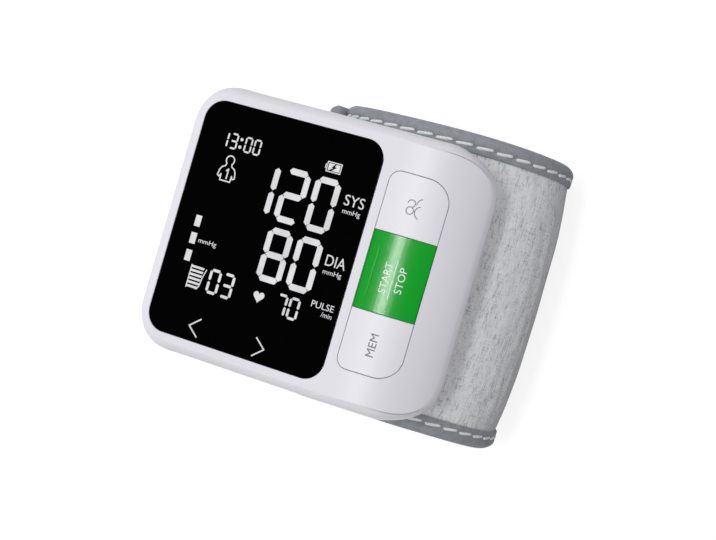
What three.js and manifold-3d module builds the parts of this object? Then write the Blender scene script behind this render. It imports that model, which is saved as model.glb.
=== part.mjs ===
// Wrist blood pressure monitor: a flat case with a display and three keys, held on a padded
// cuff that is bent round the wrist and closed by a hook-and-loop tail.
// Millimetres, +Z up. It is drawn about the middle of the display window's face, with +X to
// the right of the display's text and +Y to its top, and is then set down on its cuff.

import * as THREE from 'three';
import { mergeVertices } from 'three/addons/utils/BufferGeometryUtils.js';
import Module from 'manifold-3d';

const wasm = await Module();
wasm.setup();

// Clearances that serve the whole object
const fit = 0.3;
const seat = 0.1;
const overrun = 4;

// Display window, and the case round it
const windowWidth = 48.1;
const windowLength = 57.3;
const windowCorner = 5;
const windowThickness = 1.5;
const windowGap = 0.15;
const rimSide = 2.2;
const rimEnd = 1.75;
const wall = 1.8;

// Front cover: flat over the window, then rolled down towards its right end
const flare = 2.4;
const faceRadius = 38.7;
const faceFlatMargin = 0.45;
const faceEdgeRound = 1.2;
const faceEdgeShares = [0, 1 / 3, 1];
const seamDepth = 9.2;
const cornerLeft = 9;
const cornerRight = 12;
const windowPadMargin = 1.2;
const windowPadDepth = 3;

// Rear cover: a straight rim, sides drawn in, and a saddle over the cuff
const rimHeight = 3.2;
const sideDraw = 1;
const footRound = 3.6;
const endDraw = 7.5;

// Case screws, sunk in wells from behind
const screwEdgeLeft = 6;
const screwEdgeRight = 7.7;
const screwLand = 2.7;
const screwTipRoom = 1.4;
const screwHeadRadius = 1.9;
const screwHeadHeight = 1.4;
const screwShankRadius = 0.9;
const screwSlotWidth = 0.6;
const screwSlotDepth = 0.7;
const bossWall = 1.1;
const wellWall = 0.9;

// Keys: one strip of three, with a flange under the front cover
const stripOffset = 2.5;
const stripWidth = 14.6;
const stripMargin = 5.15;
const stripEnd = 5.05;
const stripCornerLeft = 2.8;
const stripCornerRight = 5.6;
const startKeyLength = 18.6;
const keyGap = 0.2;
const keyFlange = 0.7;
const keyFlangeThickness = 1;
const keyTravel = 0.5;
const keyStemRadius = 2;

// Key switches
const switchSize = 6;
const switchHeight = 2.8;
const buttonRadius = 1.6;
const buttonProud = 0.8;
const buttonDepth = 1;

// Display stack and main board
const lcdMarginSide = 4.55;
const lcdMarginEnd = 4.9;
const lcdThickness = 1.8;
const viewLip = 0.8;
const backlightThickness = 3;
const lcdFrameWall = 1;
const boardThickness = 1.6;
const boardEdge = 1;
const boardCorner = 5;
const boardRightDraw = 5.2;

// Air pump
const pumpRadius = 5.8;
const pumpHeadroom = 1;
const pumpSideGap = 2.3;
const pumpPostGap = 0.9;
const motorLength = 14.6;
const pumpHeadLength = 10.5;
const pumpHeadCorner = 2;
const chamberRadius = 4.2;
const chamberDepth = 5;
const shaftRadius = 1;
const shaftSunk = 3.5;
const camRadius = 2.6;
const camThrow = 0.8;
const camLength = 2.4;

// Exhaust valve
const valveWidthShare = 0.66;
const valveLength = 12;
const valveHeight = 8.2;
const valveGapToPump = 0.4;
const valveCorner = 1;
const plungerRadius = 1.2;
const plungerProud = 1.6;
const plungerSunk = 4;
const plungerTravel = 1;

// Battery cell
const batteryHeight = 7.8;
const batteryCorner = 1.6;
const batterySideGap = 3.8;
const batteryGap = 1.8;
const saddleClearance = 0.8;

// Charging socket
const socketWidth = 9;
const socketHeight = 3.2;
const socketDepth = 7.3;
const socketSet = 1.4;
const socketCorner = 1.2;
const socketWall = 0.6;
const socketSlotDepth = 5;
const socketOffset = 14;

// Air manifold, pressure sensor and tubes
const manifoldWidth = 12;
const manifoldLength = 10;
const manifoldHeight = 2;
const sensorSize = 7;
const sensorHeight = 1.4;
const tubeRadius = 1.3;
const tubeBore = 0.6;
const tubeSpread = 2.6;

// Cuff loop, seen along the wrist
const loopReach = 5.3;
const loopRightRadius = 26;
const loopLeftRadius = 33.1;
const loopUpperRadius = 25;
const loopLowerRadius = 22;
const footRadiusRight = 16;
const footRadiusLeft = 16.6;

// Cuff wall
const cuffOverhang = 3.55;
const cuffShift = 1.25;
const cuffLeanShare = 0.014;
const clothThickness = 1.2;
const liningThickness = 0.9;
const hemThickness = 2.6;
const padThickness = 5.6;
const curlPlateThickness = 0.8;
const swell = 1.4;
const bindingWidth = 4.8;
const bindingFold = 2;
const bindingThickness = 0.5;
const bindingGap = 0.2;

// Cuff fixings: two studs of the curl plate, and the bladder's air port
const studRadius = 2;
const studInset = 3.2;
const studBossWall = 1.4;
const portRadius = 1.5;
const portBore = 0.7;

// Cuff tail, hinged where the loop turns up from its foot
const hingeRise = 12;
const tailTipGap = 2;
const tailLiningThickness = 1.2;
const hookPadThickness = 1.5;
const hookPadMargin = 0.8;
const hookPadSide = 9;
const tailTaperShare = 0.04;

// How finely curves are cut into flats
const cornerSteps = 5;
const roundSides = 16;
const boreSides = 12;
const faceSteps = 8;
const quarterSteps = 8;
const cornerTurnSteps = 6;
const tubeSteps = 18;
const tubeSides = 8;

// Crown of the cuff's padding across its width: place, and height there
const crownPlaceShares = [0, 0.35, 0.7, 1];
const crownHeightShares = [1, 0.96, 0.72, 0];
const bladderShare = 0.7;

// Solids and cuts

function solidOf(geometry) {
  const bare = geometry.clone();
  bare.deleteAttribute('normal');
  bare.deleteAttribute('uv');
  const merged = mergeVertices(bare);
  return new wasm.Manifold(new wasm.Mesh({
    numProp: 3,
    vertProperties: Float32Array.from(merged.attributes.position.array),
    triVerts: Uint32Array.from(merged.index.array),
  }));
}

function geometryOf(solid) {
  const mesh = solid.getMesh();
  const geometry = new THREE.BufferGeometry();
  geometry.setAttribute('position', new THREE.BufferAttribute(mesh.vertProperties, 3));
  geometry.setIndex(new THREE.BufferAttribute(mesh.triVerts, 1));
  const faceted = geometry.toNonIndexed();
  faceted.computeVertexNormals();
  return faceted;
}

function join(...solids) {
  return solids.reduce((sum, next) => sum.add(next));
}

function cut(solid, ...tools) {
  return tools.reduce((left, tool) => left.subtract(tool), solid);
}

// Basic shapes: upright slabs from a plan, prisms along Y from a side view, blocks and rods

function roundedPlan(left, right, low, high, radiusLeft, radiusRight = radiusLeft) {
  const corners = [
    [right - radiusRight, high - radiusRight, radiusRight, 0],
    [left + radiusLeft, high - radiusLeft, radiusLeft, 1],
    [left + radiusLeft, low + radiusLeft, radiusLeft, 2],
    [right - radiusRight, low + radiusRight, radiusRight, 3],
  ];
  const points = [];
  for (const [x, y, radius, quarter] of corners) {
    for (let step = 0; step <= cornerSteps; step += 1) {
      const angle = (quarter + step / cornerSteps) * Math.PI / 2;
      points.push(new THREE.Vector2(x + radius * Math.cos(angle), y + radius * Math.sin(angle)));
    }
  }
  return points;
}

function slab(points, low, high) {
  const shape = new THREE.Shape(points);
  const geometry = new THREE.ExtrudeGeometry(shape, { depth: high - low, bevelEnabled: false });
  return solidOf(geometry.translate(0, 0, low));
}

function prism(points, near, far) {
  const shape = new THREE.Shape(points);
  const geometry = new THREE.ExtrudeGeometry(shape, { depth: far - near, bevelEnabled: false });
  return solidOf(geometry.rotateX(Math.PI / 2).translate(0, far, 0));
}

function block(left, right, near, far, low, high) {
  const geometry = new THREE.BoxGeometry(right - left, far - near, high - low);
  geometry.translate((left + right) / 2, (near + far) / 2, (low + high) / 2);
  return solidOf(geometry);
}

function rod(radius, x, y, low, high, sides = roundSides) {
  const geometry = new THREE.CylinderGeometry(radius, radius, high - low, sides);
  return solidOf(geometry.rotateX(Math.PI / 2).translate(x, y, (low + high) / 2));
}

function rodAlongY(radius, x, z, near, far, sides = roundSides) {
  const geometry = new THREE.CylinderGeometry(radius, radius, far - near, sides);
  return solidOf(geometry.translate(x, (near + far) / 2, z));
}

// Case outline at the seam, in plan

const windowHalfWidth = windowWidth / 2;
const windowHalfLength = windowLength / 2;
const caseLeft = -(windowHalfWidth + rimSide + flare);
const caseRight = windowHalfWidth + stripOffset + stripWidth + stripMargin + flare;
const caseHalf = windowHalfLength + rimEnd + flare;
const faceFlatEnd = windowHalfWidth + faceFlatMargin;

// Height of the case's face at x: flat, then the arc of a wide cylinder
function faceHeight(x) {
  const along = Math.max(0, x - faceFlatEnd);
  return Math.sqrt(faceRadius ** 2 - along ** 2) - faceRadius;
}

// One level line of the case, drawn in by inset, with a point at each place where the face bends
function caseLine(inset, insetRight, height) {
  const left = caseLeft + inset;
  const right = caseRight - insetRight;
  const half = caseHalf - inset;
  const radiusLeft = Math.max(cornerLeft - inset, faceEdgeRound);
  const radiusRight = Math.max(cornerRight - inset, faceEdgeRound);
  const upper = [];
  for (let step = 0; step <= cornerSteps; step += 1) {
    const angle = step / cornerSteps * Math.PI / 2;
    upper.push([right - radiusRight * (1 - Math.cos(angle)), half - radiusRight * (1 - Math.sin(angle))]);
  }
  const bendEnd = right - radiusRight;
  const bendStart = Math.min(faceFlatEnd, bendEnd - faceEdgeRound);
  for (let step = 1; step <= faceSteps; step += 1) {
    upper.push([bendEnd + (bendStart - bendEnd) * step / faceSteps, half]);
  }
  for (let step = 0; step <= cornerSteps; step += 1) {
    const angle = step / cornerSteps * Math.PI / 2;
    upper.push([left + radiusLeft * (1 - Math.sin(angle)), half - radiusLeft * (1 - Math.cos(angle))]);
  }
  const lower = upper.map(([x, y]) => [x, -y]).reverse();
  return upper.concat(lower).map(([x, y]) => new THREE.Vector3(x, y, height(x)));
}

// Closed body through level lines from the top down; its ends are ruled along Y
function caseBody(lines) {
  const count = lines[0].length;
  const positions = lines.flat().flatMap((point) => point.toArray());
  const index = [];
  for (let level = 0; level + 1 < lines.length; level += 1) {
    for (let place = 0; place < count; place += 1) {
      const next = (place + 1) % count;
      const a = level * count + place;
      const b = level * count + next;
      index.push(a, a + count, b, b, a + count, b + count);
    }
  }
  const last = (lines.length - 1) * count;
  for (let place = 0; place + 1 < count / 2; place += 1) {
    const mirror = count - 1 - place;
    index.push(place, place + 1, mirror, mirror, place + 1, mirror - 1);
    index.push(last + place, last + mirror, last + place + 1);
    index.push(last + mirror, last + mirror - 1, last + place + 1);
  }
  const geometry = new THREE.BufferGeometry();
  geometry.setAttribute('position', new THREE.Float32BufferAttribute(positions, 3));
  geometry.setIndex(index);
  return solidOf(geometry);
}

// The face's edge is rounded, and at the right end the face itself rolls down to the seam
function frontBody(skin, bottom) {
  const lines = faceEdgeShares.map((share) => {
    const drop = skin + faceEdgeRound * share;
    const inset = skin + faceEdgeRound * (1 - Math.sqrt(share));
    const lowest = faceEdgeRound * (1 - share / 2) / 2 - seamDepth;
    return caseLine(flare + inset, inset, (x) => Math.max(faceHeight(x) - drop, lowest));
  });
  lines.push(caseLine(skin, skin, () => -seamDepth));
  if (bottom < -seamDepth) {
    lines.push(caseLine(skin, skin, () => bottom));
  }
  return caseBody(lines);
}

function rearBody(skin, top) {
  const rimFoot = -(seamDepth + rimHeight);
  const foot = -(caseDepth - skin);
  const lines = [
    caseLine(skin, skin, () => top),
    caseLine(skin, skin, () => rimFoot),
    caseLine(skin + sideDraw / 2, skin + endDraw / 2, () => (rimFoot + foot + footRound) / 2),
    caseLine(skin + sideDraw, skin + endDraw, () => foot + footRound),
    caseLine(skin + sideDraw + footRound / 3, skin + endDraw + footRound / 3, () => foot + footRound / 3),
    caseLine(skin + sideDraw + footRound, skin + endDraw + footRound, () => foot),
  ];
  return caseBody(lines);
}

// A plate that follows the face, between two depths under it
function facePlate(top, bottom, left, right, near, far) {
  const upper = [];
  const lower = [];
  for (let step = 0; step <= faceSteps; step += 1) {
    const x = left + (right - left) * step / faceSteps;
    upper.push(new THREE.Vector2(x, faceHeight(x) - top));
    lower.push(new THREE.Vector2(x, faceHeight(x) - bottom));
  }
  return prism(lower.concat(upper.reverse()), near, far);
}

// Heights of the display stack, the board and what lies between it and the cuff

const lcdWidth = windowWidth - lcdMarginSide * 2;
const lcdLength = windowLength - lcdMarginEnd * 2;
const lcdTop = -(windowPadDepth + fit);
const lcdFoot = lcdTop - lcdThickness;
const boardTop = lcdFoot - fit - backlightThickness - fit;
const boardBottom = boardTop - boardThickness;
const caseDepth = pumpHeadroom + pumpRadius * 2 + fit + wall - boardBottom;
const rearTop = -(seamDepth + fit);
const floorTop = -(caseDepth - wall);
const bindingProud = bindingGap + bindingThickness;
const saddleGap = bindingProud + fit;
const sensorTop = boardBottom - seat;
const manifoldTop = sensorTop - sensorHeight - seat;
const manifoldLow = manifoldTop - manifoldHeight;
const saddleFloor = manifoldLow - fit;
const saddleTop = saddleFloor - wall;

// Cuff loop in side view. Distances run from the start end under the case's left half, over
// the top, down the right side, along the foot and up to the tail's hinge.

const loopRight = caseRight + loopReach;
const loopMiddle = loopRight - loopRightRadius;
const loopTop = saddleTop - saddleGap;
const loopWaist = loopTop - loopUpperRadius;
const loopFoot = loopWaist - loopLowerRadius;
const tailThickness = clothThickness + fit + tailLiningThickness;
const tailLap = tailThickness + fit + hookPadThickness + fit;
const startEndHeight = bindingWidth - bindingFold + fit;
const startLeft = loopMiddle - loopLeftRadius;
const tailLeft = startLeft - tailLap;
const footRight = loopRight - footRadiusRight;
const footLeft = tailLeft + footRadiusLeft;
const hingeAngle = Math.asin((loopLowerRadius - hingeRise) / loopLowerRadius);
const tipRise = -caseDepth - tailTipGap - loopWaist;
const tipAngle = Math.asin(tipRise / (loopUpperRadius + tailLap));

function arc(x, z, radiusX, radiusZ, from, to, steps) {
  const curve = new THREE.EllipseCurve(x, z, radiusX, radiusZ, from, to, true);
  return { curve, steps };
}

function line(fromX, fromZ, toX, toZ) {
  const curve = new THREE.LineCurve(new THREE.Vector2(fromX, fromZ), new THREE.Vector2(toX, toZ));
  return { curve, steps: 1 };
}

// A track gives the point and outward normal at a distance along its curves, and how much of
// the cuff's width is left there
function makeTrack(parts, taperShare = 0) {
  const starts = [0];
  for (const { curve } of parts) {
    starts.push(starts[starts.length - 1] + curve.getLength());
  }
  const length = starts[parts.length];
  const at = (distance) => {
    const inside = THREE.MathUtils.clamp(distance, 0, length);
    let piece = 0;
    while (piece + 1 < parts.length && inside > starts[piece + 1]) {
      piece += 1;
    }
    const share = (inside - starts[piece]) / (starts[piece + 1] - starts[piece]);
    const { curve } = parts[piece];
    const point = curve.getPointAt(Math.min(share, 1));
    const tangent = curve.getTangentAt(Math.min(share, 1));
    point.addScaledVector(tangent, distance - inside);
    const normal = new THREE.Vector2(-tangent.y, tangent.x);
    return { point, normal, share: 1 - taperShare * distance / length };
  };
  const stops = [];
  parts.forEach(({ steps }, piece) => {
    for (let step = 0; step < steps; step += 1) {
      stops.push(starts[piece] + (starts[piece + 1] - starts[piece]) * step / steps);
    }
  });
  stops.push(length);
  return { at, length, starts, stops };
}

const halfTurn = Math.PI;
const quarterTurn = Math.PI / 2;

// One quarter of the cuff's lower left corner, between two angles
function lowerLeft(from, to) {
  return arc(footLeft, loopWaist, footRadiusLeft, loopLowerRadius, from, to, cornerTurnSteps);
}

const loop = makeTrack([
  line(startLeft, loopWaist - startEndHeight, startLeft, loopWaist),
  arc(loopMiddle, loopWaist, loopLeftRadius, loopUpperRadius, halfTurn, quarterTurn, quarterSteps),
  arc(loopMiddle, loopWaist, loopRightRadius, loopUpperRadius, quarterTurn, 0, quarterSteps),
  arc(footRight, loopWaist, footRadiusRight, loopLowerRadius, 0, -quarterTurn, cornerTurnSteps),
  line(footRight, loopFoot, footLeft, loopFoot),
  lowerLeft(-quarterTurn, hingeAngle - halfTurn),
]);

const tail = makeTrack([
  lowerLeft(hingeAngle - halfTurn, -halfTurn),
  arc(loopMiddle, loopWaist, loopLeftRadius + tailLap, loopUpperRadius + tailLap,
    halfTurn, halfTurn - tipAngle, cornerTurnSteps),
], tailTaperShare);

// Cuff wall: how far the padding stands out and in across the width

const cuffHalf = caseHalf + cuffOverhang;
const clothHalf = cuffHalf - bindingFold;
const padHalf = cuffHalf - bindingWidth - fit;
const bladderHalf = padHalf * bladderShare;
const clothPlaces = [clothHalf].concat(crownPlaceShares.map((share) => share * padHalf).reverse());
const bladderPlaces = clothPlaces.filter((place) => place <= bladderHalf);

function bothSides(places) {
  return places.map((place) => -place).concat(places.slice(0, -1).reverse());
}

function crown(across) {
  const place = Math.min(Math.abs(across) / padHalf, 1);
  let cell = 1;
  while (place > crownPlaceShares[cell]) {
    cell += 1;
  }
  const share = (place - crownPlaceShares[cell - 1]) / (crownPlaceShares[cell] - crownPlaceShares[cell - 1]);
  return THREE.MathUtils.lerp(crownHeightShares[cell - 1], crownHeightShares[cell], share);
}

// The cloth swells outwards on the free right side, between the case and the foot
function swellAt(across, along) {
  const rise = THREE.MathUtils.smoothstep(along, loop.starts[2], loop.starts[3]);
  const fall = THREE.MathUtils.smoothstep(along, loop.starts[3], loop.starts[4]);
  return swell * crown(across) * (rise - fall);
}

// The padding thins to the hem at the start end, and to the tail at the hinge
const paddingStart = loop.stops[2];
const paddingEnd = loop.stops[loop.stops.length - 3];

function padAt(across, along) {
  const rise = THREE.MathUtils.smoothstep(along, loop.starts[1], paddingStart);
  const fall = THREE.MathUtils.smoothstep(along, paddingEnd, loop.length);
  return THREE.MathUtils.lerp(hemThickness, padThickness, crown(across) * (rise - fall));
}

function cutStops(track, from, to) {
  const inner = track.stops.filter((stop) => stop > from + fit && stop < to - fit);
  return [from, ...inner, to];
}

// The cuff lies a little askew under the case: the middle of its width, at x
function middleAt(x) {
  return cuffShift - (x - loopMiddle) * cuffLeanShare;
}

// Bends a flat strip round a track: x lies across the cuff, y is the outward offset, and z
// counts the stops along the track
function bend(geometry, track, stops, outward) {
  const places = geometry.attributes.position;
  for (let i = 0; i < places.count; i += 1) {
    const along = stops[Math.round(places.getZ(i))];
    const across = places.getX(i);
    const { point, normal, share: widthShare } = track.at(along);
    const middle = middleAt(point.x);
    point.addScaledVector(normal, outward(across, places.getY(i), along));
    places.setXYZ(i, point.x, middle + across * widthShare, point.y);
  }
  return solidOf(geometry);
}

// A layer of the cuff wall, from an outer to an inner offset
function layer(track, from, to, places, outer, inner) {
  const across = bothSides(places);
  const cells = across.length - 1;
  const stops = cutStops(track, from, to);
  const steps = stops.length - 1;
  const geometry = new THREE.BoxGeometry(cells, 1, steps, cells, 1, steps);
  geometry.translate(cells / 2, 0, steps / 2);
  const corners = geometry.attributes.position;
  for (let i = 0; i < corners.count; i += 1) {
    corners.setX(i, across[Math.round(corners.getX(i))]);
  }
  return bend(geometry, track, stops, (place, side, along) => (
    side > 0 ? outer(place, along) : inner(place, along)));
}

// Binding tape folded over an edge of the wall, as points of its section: x runs out past
// the edge, y is the outward offset
function tapePoints(edge, thickness) {
  const middle = -thickness / 2;
  const reach = edge - bindingFold;
  const legEnd = edge - bindingWidth;
  const points = [];
  const turn = (depth, radius, from, to) => {
    for (let step = 0; step <= cornerSteps; step += 1) {
      const angle = from + (to - from) * step / cornerSteps;
      points.push(new THREE.Vector2(reach + depth * Math.cos(angle), middle + radius * Math.sin(angle)));
    }
  };
  const innerRadius = thickness / 2 + bindingGap;
  const outerRadius = innerRadius + bindingThickness;
  points.push(new THREE.Vector2(legEnd, middle - outerRadius));
  turn(bindingFold, outerRadius, -quarterTurn, quarterTurn);
  points.push(new THREE.Vector2(legEnd, middle + outerRadius));
  points.push(new THREE.Vector2(legEnd, middle + innerRadius));
  turn(bindingFold - bindingThickness, innerRadius, quarterTurn, -quarterTurn);
  points.push(new THREE.Vector2(legEnd, middle - innerRadius));
  return points;
}

// Tape along one side edge of the cuff: side is 1 for the upper edge and -1 for the lower
function sideTape(track, from, to, thickness, side) {
  const stops = cutStops(track, from, to);
  const steps = stops.length - 1;
  const points = tapePoints(cuffHalf, thickness);
  const section = side > 0 ? points : points.map((point) => new THREE.Vector2(-point.x, point.y)).reverse();
  const options = { depth: steps, steps, bevelEnabled: false };
  const geometry = new THREE.ExtrudeGeometry(new THREE.Shape(section), options);
  return bend(geometry, track, stops, (across, offset) => offset);
}

// Tape across an end of the cuff: it lies between the side tapes, and way is 1 where the
// track runs out over it and -1 where the track starts under it
function endTape(track, edge, thickness, way) {
  const { point: foot, share: widthShare } = track.at(edge);
  const half = (cuffHalf - bindingWidth - fit) * widthShare;
  const middle = middleAt(foot.x);
  const points = tapePoints(0, thickness);
  const stationed = points.map((point) => {
    const { point: place, normal } = track.at(edge + way * point.x);
    place.addScaledVector(normal, point.y);
    return new THREE.Vector2(place.x, place.y);
  });
  return prism(way > 0 ? stationed.reverse() : stationed, middle - half, middle + half);
}

// The whole space inside the loop's outer side, grown by a margin
function loopCore(margin, near, far) {
  const points = loop.stops.map((stop) => {
    const { point, normal } = loop.at(stop);
    return point.addScaledVector(normal, margin);
  });
  const top = points.filter((point) => point.y >= loopWaist);
  return prism(top.reverse(), near, far);
}

// Where the loop's left side, grown by a margin, passes a height
function loopLeftAt(height, margin) {
  const points = loop.stops.map((stop) => {
    const { point, normal } = loop.at(stop);
    return point.addScaledVector(normal, margin);
  });
  const above = points.findIndex((point) => point.y > height);
  const [low, high] = [points[above - 1], points[above]];
  return THREE.MathUtils.mapLinear(height, low.y, high.y, low.x, high.x);
}

// Key strip and switches

const stripLeft = windowHalfWidth + stripOffset;
const stripRight = stripLeft + stripWidth;
const stripHalf = windowHalfLength - stripEnd;
const stripMiddle = (stripLeft + stripRight) / 2;
const startHalf = startKeyLength / 2;
const keyDepth = wall + fit + keyFlangeThickness;
const switchTop = boardTop + seat + switchHeight;
const buttonTop = switchTop + buttonProud;
const outerKeyMiddle = (startHalf + stripHalf) / 2;

function stripPlan(inset) {
  return roundedPlan(stripLeft + inset, stripRight - inset, -stripHalf + inset, stripHalf - inset,
    stripCornerLeft - inset, stripCornerRight - inset);
}

// One key: its cap follows the face, its flange lies under the cover, its stem meets a switch
function makeKey(low, high, stemY) {
  const reach = stripHalf + keyFlange + overrun;
  const whole = slab(stripPlan(keyGap), -caseDepth, overrun);
  const flanged = slab(stripPlan(-keyFlange), -caseDepth, overrun);
  const cap = facePlate(0, keyDepth, stripLeft - keyFlange, stripRight + keyFlange, -reach, reach);
  const foot = facePlate(wall + fit, keyDepth, stripLeft - keyFlange, stripRight + keyFlange, -reach, reach);
  const span = block(stripLeft - overrun, stripRight + overrun, low, high, -caseDepth, overrun);
  const stem = rod(keyStemRadius, stripMiddle, stemY, buttonTop + seat, -keyDepth + keyFlangeThickness);
  return join(cap.intersect(whole), foot.intersect(flanged)).intersect(span).add(stem);
}

function makeSwitch(y) {
  const half = switchSize / 2;
  const well = switchTop - buttonDepth - keyTravel - fit;
  const base = block(stripMiddle - half, stripMiddle + half, y - half, y + half, boardTop + seat, switchTop);
  return cut(base, rod(buttonRadius + fit, stripMiddle, y, well, switchTop + overrun, boreSides));
}

function makeButton(y) {
  return rod(buttonRadius, stripMiddle, y, switchTop - buttonDepth, buttonTop, boreSides);
}

// Case screws and the bosses that take them

const screwPlaces = [
  [caseLeft + screwEdgeLeft, caseHalf - screwEdgeLeft],
  [caseLeft + screwEdgeLeft, screwEdgeLeft - caseHalf],
  [caseRight - screwEdgeRight, caseHalf - screwEdgeRight],
  [caseRight - screwEdgeRight, screwEdgeRight - caseHalf],
];
const screwSeat = rearTop - screwLand;
const screwTip = faceHeight(caseRight - screwEdgeRight) - wall - screwTipRoom;
const shankHole = screwShankRadius + fit / 2;
const bossRadius = shankHole + bossWall;
const wellRadius = screwHeadRadius + fit;
const postRadius = wellRadius + wellWall;

function makeScrew([x, y]) {
  const headFoot = screwSeat - screwHeadHeight;
  const slotHalf = screwSlotWidth / 2;
  const head = rod(screwHeadRadius, x, y, headFoot, screwSeat - seat);
  const shank = rod(screwShankRadius, x, y, screwSeat - screwHeadHeight / 2, screwTip, boreSides);
  const reach = screwHeadRadius + overrun;
  const slotTop = headFoot + screwSlotDepth;
  const slot = block(x - reach, x + reach, y - slotHalf, y + slotHalf, headFoot - overrun, slotTop);
  const cross = block(x - slotHalf, x + slotHalf, y - reach, y + reach, headFoot - overrun, slotTop);
  return cut(head.add(shank), slot, cross);
}

// Front cover

const windowFoot = -(windowThickness + fit);
const viewHalfWidth = lcdWidth / 2 - viewLip;
const viewHalfLength = lcdLength / 2 - viewLip;

function windowPlan(margin) {
  const halfWidth = windowHalfWidth + margin;
  const halfLength = windowHalfLength + margin;
  return roundedPlan(-halfWidth, halfWidth, -halfLength, halfLength, windowCorner + margin);
}

function makeFrontCover() {
  const outside = frontBody(0, -seamDepth);
  const inside = frontBody(wall, -seamDepth - overrun);
  const shell = cut(outside, inside);
  const pad = slab(windowPlan(windowPadMargin), -windowPadDepth, -wall / 2);
  const bosses = screwPlaces.map(([x, y]) => rod(bossRadius, x, y, -seamDepth, faceHeight(x) - wall / 2));
  const recess = slab(windowPlan(windowGap), windowFoot, overrun);
  const view = slab(roundedPlan(-viewHalfWidth, viewHalfWidth, -viewHalfLength, viewHalfLength, viewLip),
    -windowPadDepth - overrun, overrun);
  const strip = slab(stripPlan(0), -seamDepth, overrun);
  const holes = screwPlaces.map(([x, y]) => (
    rod(shankHole, x, y, -seamDepth - overrun, screwTip + fit, boreSides)));
  const body = join(shell, pad, ...bosses).intersect(outside);
  return cut(body, recess, view, strip, ...holes);
}

function makeWindow() {
  return slab(windowPlan(0), -windowThickness, 0);
}

// Display stack and board


function lcdPlate(low, high, margin) {
  return block(-lcdWidth / 2 - margin, lcdWidth / 2 + margin,
    -lcdLength / 2 - margin, lcdLength / 2 + margin, low, high);
}

function makeLcdFrame() {
  const outer = lcdPlate(boardTop + seat, lcdTop, fit + lcdFrameWall);
  return cut(outer, lcdPlate(boardTop - overrun, lcdTop + overrun, fit));
}

function makeBoard() {
  const left = caseLeft + wall + boardEdge;
  const right = caseRight - wall - boardRightDraw;
  const half = caseHalf - flare - wall - boardEdge;
  const board = slab(roundedPlan(left, right, -half, half, boardCorner), boardBottom, boardTop);
  const notches = screwPlaces.map(([x, y]) => (
    rod(postRadius + fit, x, y, boardBottom - overrun, boardTop + overrun, boreSides)));
  return cut(board, ...notches);
}

// Rear cover with its saddle, screw wells, socket opening, stud sockets and air hole

const studSpread = bladderHalf - studInset;
const studPlaces = [cuffShift + studSpread, cuffShift - studSpread];
const studTop = boardBottom - fit - wall - fit;
const socketTop = boardBottom - seat;
const socketFoot = socketTop - socketHeight;
const socketMouth = caseLeft + socketSet;

function socketPlan(margin) {
  return [
    socketOffset - socketWidth / 2 - margin,
    socketOffset + socketWidth / 2 + margin,
    socketFoot - margin,
    socketTop + margin,
    socketCorner + margin,
  ];
}

// A rounded bar along X, from its outline seen from the left
function barAlongX([near, far, low, high, radius], left, right) {
  const points = roundedPlan(near, far, low, high, radius);
  const options = { depth: right - left, bevelEnabled: false };
  const geometry = new THREE.ExtrudeGeometry(new THREE.Shape(points), options);
  const turned = geometry.rotateX(Math.PI / 2).rotateZ(Math.PI / 2);
  return solidOf(turned.translate(left, 0, 0));
}

function makeRearCover() {
  const outside = rearBody(0, rearTop);
  const inside = rearBody(wall, rearTop + overrun);
  const saddle = loopCore(saddleGap, -caseHalf - overrun, caseHalf + overrun);
  const saddleSkin = loopCore(saddleGap + wall, -caseHalf - overrun, caseHalf + overrun);
  const shell = cut(outside, cut(inside, saddleSkin), saddle);
  const posts = screwPlaces.map(([x, y]) => rod(postRadius, x, y, -caseDepth, rearTop));
  const studBosses = studPlaces.map((y) => (
    rod(studRadius + studBossWall, loopMiddle, y, saddleTop, studTop + fit + wall)));
  const core = cut(join(...posts, ...studBosses).intersect(outside), saddle);
  const wells = screwPlaces.map(([x, y]) => (
    rod(wellRadius, x, y, -caseDepth - overrun, screwSeat, boreSides)));
  const shanks = screwPlaces.map(([x, y]) => rod(shankHole, x, y, -caseDepth, rearTop + overrun, boreSides));
  const studHoles = studPlaces.map((y) => (
    rod(studRadius + fit, loopMiddle, y, loopTop, studTop + fit, boreSides)));
  const airHole = rod(portRadius + fit, loopMiddle, cuffShift, loopTop, saddleFloor + overrun, boreSides);
  const socketHole = barAlongX(socketPlan(fit), caseLeft - overrun, caseLeft + wall + overrun);
  return cut(join(shell, core), ...wells, ...shanks, ...studHoles, airHole, socketHole);
}

function makeSocket() {
  const body = barAlongX(socketPlan(0), socketMouth, socketMouth + socketDepth);
  const slot = barAlongX(socketPlan(-socketWall), socketMouth - overrun, socketMouth + socketSlotDepth);
  const [near, far, , , radius] = socketPlan(-socketWall);
  const middle = (socketFoot + socketTop) / 2;
  const tongueHalf = socketWall / 2;
  const tongue = block(socketMouth + socketWall, socketMouth + socketSlotDepth + socketWall,
    near + radius, far - radius, middle - tongueHalf, middle + tongueHalf);
  return cut(body, slot).add(tongue);
}

// Pump: motor, cam shaft and head in a row along Y, on the rear cover's floor

const pumpX = caseLeft + wall + sideDraw + pumpSideGap + pumpRadius;
const pumpZ = floorTop + fit + pumpRadius;
const motorNear = screwEdgeLeft + postRadius + pumpPostGap - caseHalf;
const motorFar = motorNear + motorLength;
const headNear = motorFar + fit;
const headFar = headNear + pumpHeadLength;
const camNear = headNear + (chamberDepth - camLength) / 2;

function makeMotor() {
  const can = rodAlongY(pumpRadius, pumpX, pumpZ, motorNear, motorFar);
  const boreNear = motorFar - shaftSunk - fit;
  return cut(can, rodAlongY(shaftRadius + fit, pumpX, pumpZ, boreNear, motorFar + overrun));
}

function makeRotor() {
  const shaft = rodAlongY(shaftRadius, pumpX, pumpZ, motorFar - shaftSunk, camNear + camLength, boreSides);
  return shaft.add(rodAlongY(camRadius, pumpX, pumpZ + camThrow, camNear, camNear + camLength));
}

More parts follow.
